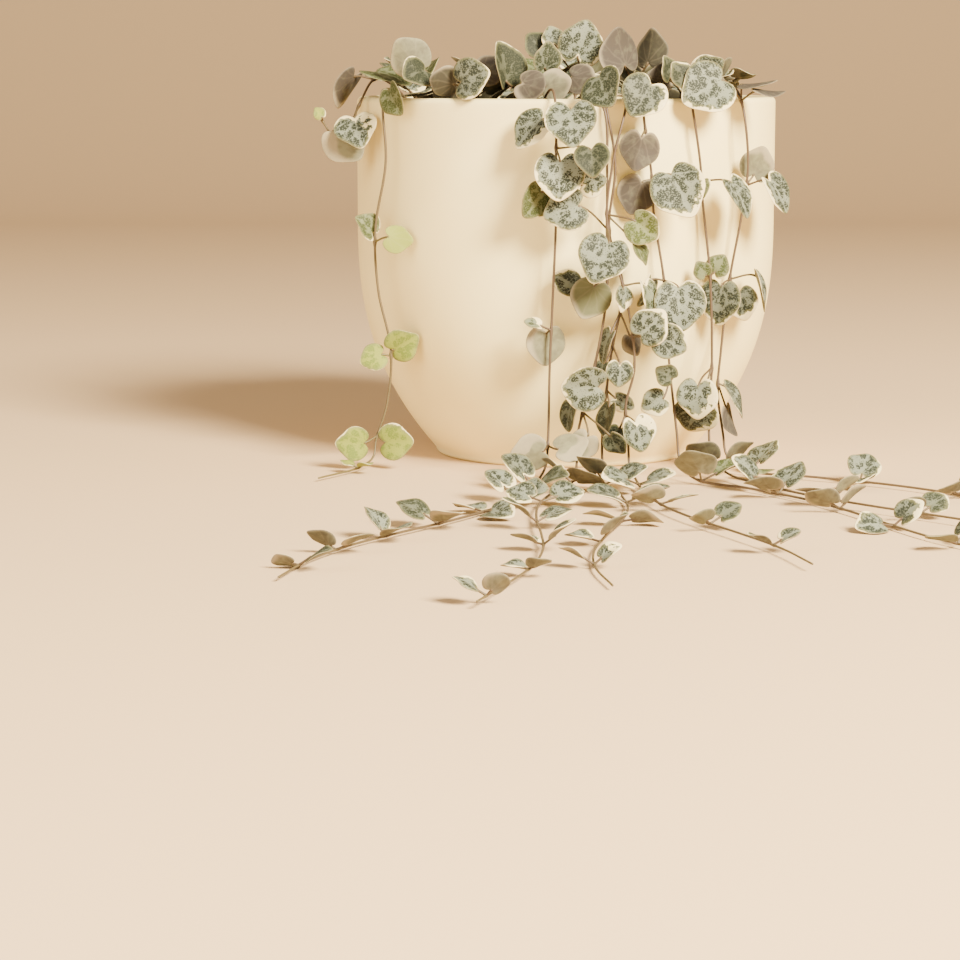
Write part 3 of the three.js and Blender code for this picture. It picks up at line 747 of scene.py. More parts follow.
@dataclass(frozen=True)
class Soil:
    """The potting soil, crumbly on top.

    Attributes:
        pot: The pot that it fills.
        top: Height of its top.
        gap: Room to the pot's wall.
        crumble: How far its crumbs stand up and sink in.
        crumbs: For each size of crumb, that size, its share and its seed.
        shelter: How far from the wall the crumbs reach their full height.
        sides: Points round it.
    """

    pot: Pot
    top: float = 123.0
    gap: float = 0.35
    crumble: float = 1.6
    crumbs: tuple[tuple[float, float, int], ...] = ((3.1, 0.6, 1), (1.3, 0.4, 2))
    shelter: float = 4.0
    sides: int = 220

    SIDE_POINTS, TOP_POINTS = 16, 62  # up the side, and from there to the middle
    ON_TOP = 0.01  # how far below the top a point still belongs to it

    def build(self, finish: SoilFinish) -> bpy.types.Object:
        """Makes the soil: turned like the pot's inside, its top raised and sunk by noise of two sizes.

        Args:
            finish: The soil's look.

        Returns:
            The soil.
        """
        low = self.pot.floor + self.gap
        z_side = np.linspace(low, self.top, self.SIDE_POINTS)
        side = np.stack([self.pot.radius(z_side) - self.pot.wall - self.gap, z_side], axis=-1)
        radius = np.linspace(side[-1, 0], 0, self.TOP_POINTS)[1:]
        over = np.stack([radius, np.full_like(radius, self.top)], axis=-1)
        shell = turned_shell(np.vstack([[[0.0, low]], side, over]), self.sides)
        x, y, z = shell.points.T
        raised = sum(value_noise(x, y, size, seed) * share for size, share, seed in self.crumbs) - 0.5
        middle = np.clip((side[-1, 0] - np.hypot(x, y)) / self.shelter, 0, 1)
        shell.points[:, 2] += np.where(z > self.top - self.ON_TOP, raised * middle * self.crumble, 0)
        return stands_for(mesh_object("soil_crumbled", [shell], [finish.material()]), "soil")


# ---- Leaves
class Coat(Enum):
    """How a leaf is coloured: its darkness, width of cream, youth and blush, mostly from 0 to 1. For the
    coats of leaves in the crown's shade, the darkness is partly painted shade.
    """

    MARBLED = (0.3, 0.45, 0.0, 0.5)
    DARK = (0.7, 0.15, 0.03, 0.6)
    # Painted shade: a dark leaf darkened further, for leaves in the crown's shade.
    SHADED_DARK = (0.88, 0.1, 0.03, 0.6)
    VEINED = (0.6, 0.45, 0.0, 0.5)
    GREEN = (0.6, 0.2, 0.25, 0.3)
    FRESH = (0.45, 0.25, 0.35, 0.2)
    MOSS = (0.9, 0.3, 0.45, 0.0)
    PALE = (0.0, 0.65, 0.0, 0.4)
    CREAM = (0.3, 1.0, 0.0, 0.3)
    YOUNG = (0.0, 0.12, 1.0, 0.1)
    # Painted shade: a mauve underside darkened, for leaves in the crown's shade.
    SHADED_MAUVE = (0.9, 0.3, 0.0, 1.0)
    MAUVE = (0.3, 0.4, 0.0, 1.0)
    OLIVE = (0.3, 0.5, 0.1, 0.3)
    WHITE = (0.0, 1.6, 0.0, 0.1)


class Leaf(NamedTuple):
    """A leaf as it is seen from the front.

    at is where its stem has its node. right, out and up place the middle of its blade. clock is where
    the tip points, as on a clock face in degrees; pitch brings the tip towards the viewer; roll turns
    the blade about its midrib, so that 90 is edge-on and 180 shows the underside; fold is how far the
    halves close.
    """

    at: float
    right: float
    out: float
    up: float
    width: float
    clock: float
    pitch: float
    roll: float
    coat: Coat = Coat.MARBLED
    fold: float = 10.0


@dataclass(frozen=True)
class Blade:
    """A leaf's blade in its place, as a surface.

    Attributes:
        centre: The middle of the blade.
        tip: The way its tip points.
        face: The way its upper side looks.
        width: Its width.
        fold: How far its halves close, in degrees.
        far: How far along the stem it grows.
        coat: How it is coloured.
        number: Tells this leaf's draws from the others'.
    """

    centre: np.ndarray
    tip: np.ndarray
    face: np.ndarray
    width: float
    fold: float
    far: float
    coat: Coat
    number: float

    THICKNESS = 0.8
    CURL = 0.1  # how far it sinks half a width along, as a share of that
    CREASE = 1.1  # how wide the crease is rounded
    RUFFLE, RUFFLES, RUFFLE_TURN = 0.3, 3, 6  # how high it stands, how often, and how far it is turned
    SURFACE_GAP = 0.4  # how near it may come to the surface that the pot stands on
    AROUND = 44  # points on a ring
    GATHER = 0.22  # how much closer the outline's points lie near the tip and the notch
    RINGS = 7  # rings from the middle to the margin
    # What the outline adds to a circle: how much, how far from the tip (radians), over what spread, and
    # the smallest share of it that a leaf may draw.
    BUMPS = ((0.14, 0.0, 0.3, 0.4), (-0.1, 0.75, 0.4, 0.6), (-0.5, math.pi, 0.31, 0.7))
    SKEW = 0.04  # how much wider one side may be
    CREAM = (0.1, 6.0, 0.15)  # least width, what is added at most, and the least share of that
    APART = 40.0  # how far the pattern moves from one leaf's number to the next
    # Which draw decides what.
    CREAM_WAY, CREAM_SHARE, RUFFLE_START, FIRST_BUMP, SKEWED = 3, 5, 11, 13, 17

    def outline(self, angle: np.ndarray) -> np.ndarray:
        """Returns the radius at angles from the tip, half a width being 1.

        It is a circle with bumps, each as high as the leaf draws, and a little wider on one side.
        """
        bumps = 0
        for high, at, spread, least in self.BUMPS:
            drawn = high * between(least, 1, draw(self.number, self.FIRST_BUMP + at))
            bumps = bumps + drawn * np.exp(-(((np.abs(angle) - at) / spread) ** 2))
        return 1 + bumps + self.SKEW * between(-1, 1, draw(self.number, self.SKEWED)) * np.sin(angle)

    def surface(self, share: np.ndarray, angle: np.ndarray) -> tuple[np.ndarray, np.ndarray, np.ndarray]:
        """Works out points of the blade's middle surface.

        A point at a share of the way from the centre to the margin, at an angle from the tip, lies along
        and across the midrib by that radius's cosine and sine. It rises with the fold, from a crease
        that is rounded off, sinks with the square of its distance along, and ruffles near the margin.

        Args:
            share: Shares of the way to the margin.
            angle: Angles from the tip, from minus to plus pi.

        Returns:
            The points, and how far each lies across and along the midrib.
        """
        half = self.width / 2
        reach = half * self.outline(angle) * share
        along, across = reach * np.cos(angle), reach * np.sin(angle)
        crease = np.sqrt(across**2 + self.CREASE**2) - self.CREASE
        ruffle = np.sin(self.RUFFLES * angle + self.RUFFLE_TURN * draw(self.number, self.RUFFLE_START))
        rise = crease * math.tan(self.fold * DEG) - self.CURL * along**2 / half
        rise = rise + self.RUFFLE * share**3 * ruffle
        side = np.cross(self.tip, self.face)
        offsets = [np.multiply.outer(a, b) for a, b in ((along, self.tip), (across, side), (rise, self.face))]
        return self.centre + sum(offsets), across, along

    def cream_width(self, angle: np.ndarray) -> np.ndarray:
        """Returns the cream margin's width: narrow, and wide round one direction that is drawn."""
        least, more, share = self.CREAM
        towards = 2 * math.pi * draw(self.number, self.CREAM_WAY)
        wide = (0.5 + 0.5 * np.cos(angle - towards)) ** 2
        more = more * between(share, 1, draw(self.number, self.CREAM_SHARE))
        return self.coat.value[1] * (least + more * wide)

    def shell(self) -> Shell:
        """Returns the leaf: an upper and a lower side that meet in a rounded margin.

        Rings run from the middle of the upper side out to the margin and back on the lower side. Half the
        thickness at a share of the way out is the whole times the root of one minus its fourth power.
        """
        even = np.linspace(-math.pi, math.pi, self.AROUND, endpoint=False)
        angle = even - self.GATHER * np.sin(2 * even)
        out = np.sin(math.pi / 2 * np.arange(1, self.RINGS + 1) / self.RINGS)
        share = np.concatenate([out, out[-2::-1]])[:, None]
        sign = np.where(np.arange(len(share)) < self.RINGS, 1.0, -1.0)[:, None]
        middle, across, along = self.surface(share, angle[None, :] + 0 * share)
        lift = sign * self.THICKNESS / 2 * np.sqrt(np.maximum(0, 1 - share**4))
        lift = lift[..., None] * self.face
        rings = middle + lift
        poles = self.centre + np.outer([1, -1], self.face) * self.THICKNESS / 2
        lowest = np.minimum(rings[..., 2], (middle - lift)[..., 2])
        rings[..., 2] += np.maximum(0, self.SURFACE_GAP - lowest)
        poles[:, 2] += max(0, self.SURFACE_GAP - poles[:, 2].min())
        half = self.width / 2
        notch = half * float(self.outline(np.array(math.pi)))
        cream = self.cream_width(angle[None, :] + 0 * share)
        dark, _, youth, blush = self.coat.value
        edge = (1 - share) * half * self.outline(angle)
        place = [across, along + notch, np.full_like(across, self.number * self.APART)]
        tone = [edge, cream, np.full_like(edge, dark)]
        at_poles = ([0, notch, self.number * self.APART], [half, cream.mean(), dark])
        values = {
            key: np.vstack([np.stack(parts, axis=-1).reshape(-1, 3), pole, pole])
            for key, parts, pole in zip(("place", "tone"), (place, tone), at_poles)
        }
        values["mood"] = np.tile([youth, blush, 0.0], (across.size + 2, 1))
        return closed_shell(rings, poles, values, np.repeat([0, 1], self.RINGS))


def seen_blade(origin: np.ndarray, leaf: Leaf, far: float, number: float) -> Blade:
    """Places a leaf that is given as it is seen from the front.

    Args:
        origin: The point that the leaf's place is measured from.
        leaf: The leaf.
        far: How far along the stem it grows.
        number: The leaf's number.

    Returns:
        Its blade.
    """
    clock, pitch = leaf.clock * DEG, leaf.pitch * DEG
    level = math.cos(pitch)
    tip = np.array([math.sin(clock) * level, -math.sin(pitch), math.cos(clock) * level])
    face = turned(squared_to(VIEWER, tip), tip, leaf.roll * DEG)
    centre = origin + np.array([leaf.right, -leaf.out, leaf.up])
    return Blade(centre, tip, face, leaf.width, leaf.fold, far, leaf.coat, number)


# ---- Leafy stems
@dataclass
class Path:
    """A stem's line: a smooth curve through its way points, and the chords that its solid runs along.

    The curve is the centripetal Catmull-Rom spline: between two way points, each end's slope comes from
    its neighbours with the square roots of the distances as steps. Chords join the curve's points at
    every way point and halfway between.

    Attributes:
        way: The way points.
        points: The chords' ends.
        far: How far along each one is.
    """

    way: np.ndarray
    points: np.ndarray = field(init=False)
    far: np.ndarray = field(init=False)

    OVER_RIM = 5  # how many chords lie on top of the pot
    END = 0.9  # how far short of the end the last leaves grow

    def __post_init__(self) -> None:
        """Works out the chords."""
        self.points = self.curve(np.arange(2 * len(self.way) - 1) / 2)
        self.far = run_lengths(self.points)

    def curve(self, t: np.ndarray) -> np.ndarray:
        """Returns the curve's points at places given by way points: 4.3 is 30% on from 4 to 5."""
        way = self.way
        padded = np.vstack([2 * way[0] - way[1], way, 2 * way[-1] - way[-2]])
        i = np.clip(np.floor(t).astype(int), 0, len(way) - 2)
        w = (t - i)[:, None]
        p0, p1, p2, p3 = (padded[i + k] for k in range(4))
        d0, d1, d2 = (
            np.sqrt(np.linalg.norm(b - a, axis=1, keepdims=True)) for a, b in ((p0, p1), (p1, p2), (p2, p3))
        )
        out = d1 * ((p1 - p0) / d0 - (p2 - p0) / (d0 + d1) + (p2 - p1) / d1)
        into = d1 * ((p2 - p1) / d1 - (p3 - p1) / (d1 + d2) + (p3 - p2) / d2)
        cubic = 2 * p1 - 2 * p2 + out + into
        square = -3 * p1 + 3 * p2 - 2 * out - into
        return p1 + w * (out + w * (square + w * cubic))

    def place(self, distance: float) -> tuple[np.ndarray, np.ndarray, float]:
        """Returns the chords' point so far along, the way they run there, and its place by way points."""
        i = int(np.clip(np.searchsorted(self.far, distance, side="right") - 1, 0, len(self.far) - 2))
        share = (distance - self.far[i]) / (self.far[i + 1] - self.far[i])
        node = self.points[i] * (1 - share) + self.points[i + 1] * share
        return node, unit(self.points[i + 1] - self.points[i]), (i + share) / 2

    def far_of(self, at: float) -> float:
        """Returns how far along a place by way points is, kept short of the end."""
        i = min(int(2 * at), len(self.far) - 2)
        return min(between(self.far[i], self.far[i + 1], 2 * at - i), self.far[-1] - self.END)

    def far_at_height(self, z: float) -> float:
        """Returns how far along the hanging stretch, past the chords on top of the pot, a height is."""
        high = self.points[:, 2]
        fits = (high[:-1] >= z) & (high[1:] < z) & (np.arange(len(high) - 1) > self.OVER_RIM)
        i = int(np.argmax(fits))
        return between(self.far[i], self.far[i + 1], (high[i] - z) / (high[i] - high[i + 1]))


@dataclass(frozen=True)
class Growth:
    """Leaves that grow by rule: in pairs, from a place on.

    Attributes:
        first: Where the first pair is, in way points.
        seed: Chooses the draws.
        size: Width of the first leaves.
        every: Way points from pair to pair.
        lean: Lowest and highest angle of a leaf above the level, in degrees.
        coats: The colourings that the leaves draw from.
    """

    first: float
    seed: int
    size: float
    every: float = 1.0
    lean: tuple[float, float] = (0.0, 45.0)
    coats: tuple[Coat, ...] = (
        Coat.MARBLED,
        Coat.DARK,
        Coat.MARBLED,
        Coat.VEINED,
        Coat.GREEN,
        Coat.MARBLED,
        Coat.CREAM,
        Coat.MAUVE,
    )

    # What a leaf draws between: its swing along the stem, its turn and fold in degrees, and its reach
    # and width as shares of its width and of the size.
    SWING = (-0.5, 0.7)
    TURN = (-40.0, 40.0)
    REACH = (0.5, 0.75)
    FOLD = (4.0, 20.0)
    WIDTH = (0.85, 1.1)
    TIP_SHARE = 0.6  # the last leaves' size, beside the first ones'
    RAISED = 0.05  # how far a blade stands above its petiole's run, as a share of its width
    DRAWS = 9  # room for one leaf's draws
    SLACK = 0.01  # how far past the end a pair may be and still grow, in way points
    SEEDS, NUMBER_STEP = 97, 0.37  # a leaf's number is its seed's rest, and a step for each draw

    def blade(self, path: Path, far: float, side: float, share: float, k: int) -> Blade:
        """Grows one leaf.

        Args:
            path: The stem's line.
            far: How far along it grows.
            side: Which side of the stem, plus or minus one.
            share: How large it is, beside the first ones.
            k: The number of its first draw.

        Returns:
            Its blade.
        """
        swing, lean, turn, reach, fold, _, coat, width = (draw(self.seed, k + i) for i in range(8))
        width = self.size * share * between(*self.WIDTH, width)
        node, run, _ = path.place(far)
        flat = unit(np.cross(run, UP)) * side + run * between(*self.SWING, swing)
        flat = unit(flat * [1, 1, 0])
        rise = between(*self.lean, lean) * DEG
        tip = flat * math.cos(rise) + UP * math.sin(rise)
        face = turned(squared_to(UP, tip), tip, between(*self.TURN, turn) * DEG)
        centre = node + tip * (width * between(*self.REACH, reach)) + UP * width * self.RAISED
        coat = self.coats[int(len(self.coats) * coat)]
        number = self.seed % self.SEEDS + k * self.NUMBER_STEP
        return Blade(centre, tip, face, width, between(*self.FOLD, fold), far, coat, number)

    def blades(self, path: Path, start: float) -> list[Blade]:
        """Grows the pairs from a place on, smaller towards the stem's growing tip.

        Args:
            path: The stem's line.
            start: Where first is measured from, in way points.

        Returns:
            The blades.
        """
        first, last = start + self.first, len(path.way) - 1
        made = []
        for pair in range(int((last + self.SLACK - first) / self.every) + 1):
            at = first + pair * self.every
            share = between(1, self.TIP_SHARE, (at - first) / (last - first))
            for half, side in enumerate((1, -1)):
                k = (2 * pair + half) * self.DRAWS
                made.append(self.blade(path, path.far_of(at), side, share, k))
        return made


@dataclass
class LeafyStem:
    """A stem with its petioles and leaves, in place of its solid.

    Attributes:
        name: The node that it stands for.
        path: Its line.
        blades: Its leaves.
        youth: How green it is, from 0 to 1.
    """

    name: str
    path: Path
    blades: list[Blade]
    youth: float = 0.0

    RADIUS, PETIOLE = 0.46, 0.36  # the stem's and a petiole's
    SWELLING, SWOLLEN = 0.7, 1.1  # how much thicker a node is, and over what length
    TAPER = 0.3  # how much thinner the growing tip is
    YOUNG_SKIN = 0.35  # how green a young stem is, and any stem's tip
    SIDES, STEPS = 10, 11  # points round the stem, and from one way point to the next
    PETIOLE_SIDES, PETIOLE_STEPS = 8, 9
    FLARE = 0.35  # how much thicker a petiole's ends are
    ROOTED = 0.93  # where in the blade's notch a petiole ends
    BENT = 0.8  # how much a petiole's end follows the midrib
    GREEN_DRAW, GREENEST = 2, 0.25  # which draw says how green a petiole is, and the most it can be

    def stem_shell(self) -> Shell:
        """Returns the stem: a tube that swells at each node and thins towards its growing tip."""
        t = np.linspace(0, len(self.path.way) - 1, self.STEPS * (len(self.path.way) - 1) + 1)
        line = self.path.curve(t)
        far = run_lengths(line)
        on = far / far[-1]
        nodes = np.interp([self.path.place(b.far)[2] for b in self.blades], t, far)
        near = np.exp(-(((far[:, None] - nodes) / self.SWOLLEN) ** 2)).max(axis=1)
        radii = self.RADIUS * (1 + self.SWELLING * near) * (1 - self.TAPER * on**4)
        youth = np.clip(self.YOUNG_SKIN * self.youth + self.YOUNG_SKIN * on**3, 0, 1)
        return Tube(line, radii, self.SIDES, far, len(self.blades), youth).shell()

    def petiole_shell(self, blade: Blade) -> Shell:
        """Returns a leaf's petiole: a tube on a cubic curve from the stem into the blade's notch.

        Both ends' handles are a third of the distance long. The far one blends the straight line with the
        midrib's direction, so that the petiole bends into the blade.

        Args:
            blade: The leaf.
        """
        node = self.path.curve(np.array([self.path.place(blade.far)[2]]))[0]
        notch = blade.surface(np.array(self.ROOTED), np.array(math.pi))[0]
        span = notch - node
        length = float(np.linalg.norm(span))
        into = unit(unit(span) + self.BENT * blade.tip) * length / 3
        handles = [node, node + span / 3, notch - into, notch]
        t = np.linspace(0, 1, self.PETIOLE_STEPS)[:, None]
        weights = [(1 - t) ** 3, 3 * t * (1 - t) ** 2, 3 * t**2 * (1 - t), t**3]
        line = sum(weight * handle for weight, handle in zip(weights, handles))
        line[:, 2] = np.maximum(line[:, 2], blade.SURFACE_GAP + self.PETIOLE)
        t = t[:, 0]
        radii = self.PETIOLE * (1 + self.FLARE * np.abs(2 * t - 1) ** 3)
        green = np.full(len(t), max(self.youth, self.GREENEST * draw(blade.number, self.GREEN_DRAW)))
        return Tube(line, radii, self.PETIOLE_SIDES, t * length, blade.number, green).shell()

    def build(self, leaf_sides: list[bpy.types.Material], bark: bpy.types.Material) -> None:
        """Makes the stem with its petioles, and the leaves, in place of the solid.

        Args:
            leaf_sides: The leaves' upper side and underside.
            bark: The stem's skin.
        """
        stalks = [self.stem_shell()] + [self.petiole_shell(blade) for blade in self.blades]
        leaves = [blade.shell() for blade in self.blades]
        for part, shells, finishes in (("stem", stalks, [bark]), ("leaves", leaves, leaf_sides)):
            piece = mesh_object(f"{self.name}_{part}", shells, finishes)
            stands_for(piece, self.name)
        LOG.info("%s: %d leaves", self.name, len(self.blades))


@dataclass(frozen=True)
class Lying:
    """The stretch of a stem that lies on the surface.

    Attributes:
        heading: The way it goes, in degrees from the viewer's direction.
        length: Its length.
        sway: How far it swings from side to side.
        lift: Height of its middle above the surface.
    """

    heading: float
    length: float
    sway: float
    lift: float

    START, STEP = 10.0, 28.0  # how far on the first step is, and from each to the next
    # The landing is so far on, sideways and forwards, and so much above the rest, or at this share of the
    # hanging stretch's last height where that is more.
    LANDING_ON = (2.0, 2.5, 0.0)
    LANDING_UP = 3.5
    LANDING_SHARE = 0.45
    WAVE = 0.85  # how far the sway's sine runs on with each step
    SETTLE = 0.8  # how much the first step is above the rest

    def way(self, foot: np.ndarray) -> np.ndarray:
        """Returns its way points: a landing, then steps along the heading with a sine's sway aside.

        Args:
            foot: The last way point of the hanging stretch.
        """
        ahead = np.array([math.sin(self.heading * DEG), -math.cos(self.heading * DEG), 0.0])
        aside = np.array([-ahead[1], ahead[0], 0.0])
        k = np.arange(round(self.length / self.STEP) + 1)[:, None]
        level = foot * [1, 1, 0]
        steps = level + ahead * (self.START + k * self.STEP) + aside * self.sway * np.sin(self.WAVE * k)
        steps[:, 2] = self.lift
        steps[0, 2] += self.SETTLE
        landing = level + ahead * self.LANDING_ON
        landing[2] = max(self.lift + self.LANDING_UP, foot[2] * self.LANDING_SHARE)
        return np.vstack([landing, steps])


SEEN_STEP = 0.61  # from one seen leaf's number to the next one's


@dataclass(frozen=True)
class Strand:
    """A hanging stem: its way over the rim and down, its leaves, and its lying stretch.

    Each leaf's node is given by its height, and its place is measured from there.
    """

    way: list[Point]
    seen: list[Leaf]
    lying: Lying
    growth: Growth
    youth: float = 0.0

    def stem(self, name: str, number: int) -> LeafyStem:
        """Works out the stem.

        Args:
            name: The node that it stands for.
            number: The stem's number.

        Returns:
            The leafy stem.
        """
        way = np.array(self.way, dtype=float)
        path = Path(np.vstack([way, self.lying.way(way[-1])]))
        fars = [path.far_at_height(leaf.at) for leaf in self.seen]
        seen = [
            seen_blade(path.place(far)[0], leaf, far, number + i * SEEN_STEP)
            for i, (leaf, far) in enumerate(zip(self.seen, fars))
        ]
        return LeafyStem(name, path, seen + self.growth.blades(path, len(way)), self.youth)


@dataclass(frozen=True)
class Sprig:
    """A short stem of the crown.

    Each leaf's node is given by way points, and its place is measured from the middle of the pot's foot.
    """

    way: list[Point]
    seen: list[Leaf] = field(default_factory=list)
    growth: Optional[Growth] = None

    def stem(self, name: str, number: int) -> LeafyStem:
        """Works out the stem.

        Args:
            name: The node that it stands for.
            number: The stem's number.

        Returns:
            The leafy stem.
        """
        path = Path(np.array(self.way, dtype=float))
        seen = [
            seen_blade(np.zeros(3), leaf, path.far_of(leaf.at), number + i * SEEN_STEP)
            for i, leaf in enumerate(self.seen)
        ]
        return LeafyStem(name, path, seen + (self.growth.blades(path, 0) if self.growth else []))


ROOT = (117.5, 126.0)  # heights that a stem stands upright between, in the soil and out of it


def out_of_soil(x: float, y: float) -> list[Point]:
    """Returns a stem's first way points: up out of the soil."""
    return [(x, y, height) for height in ROOT]


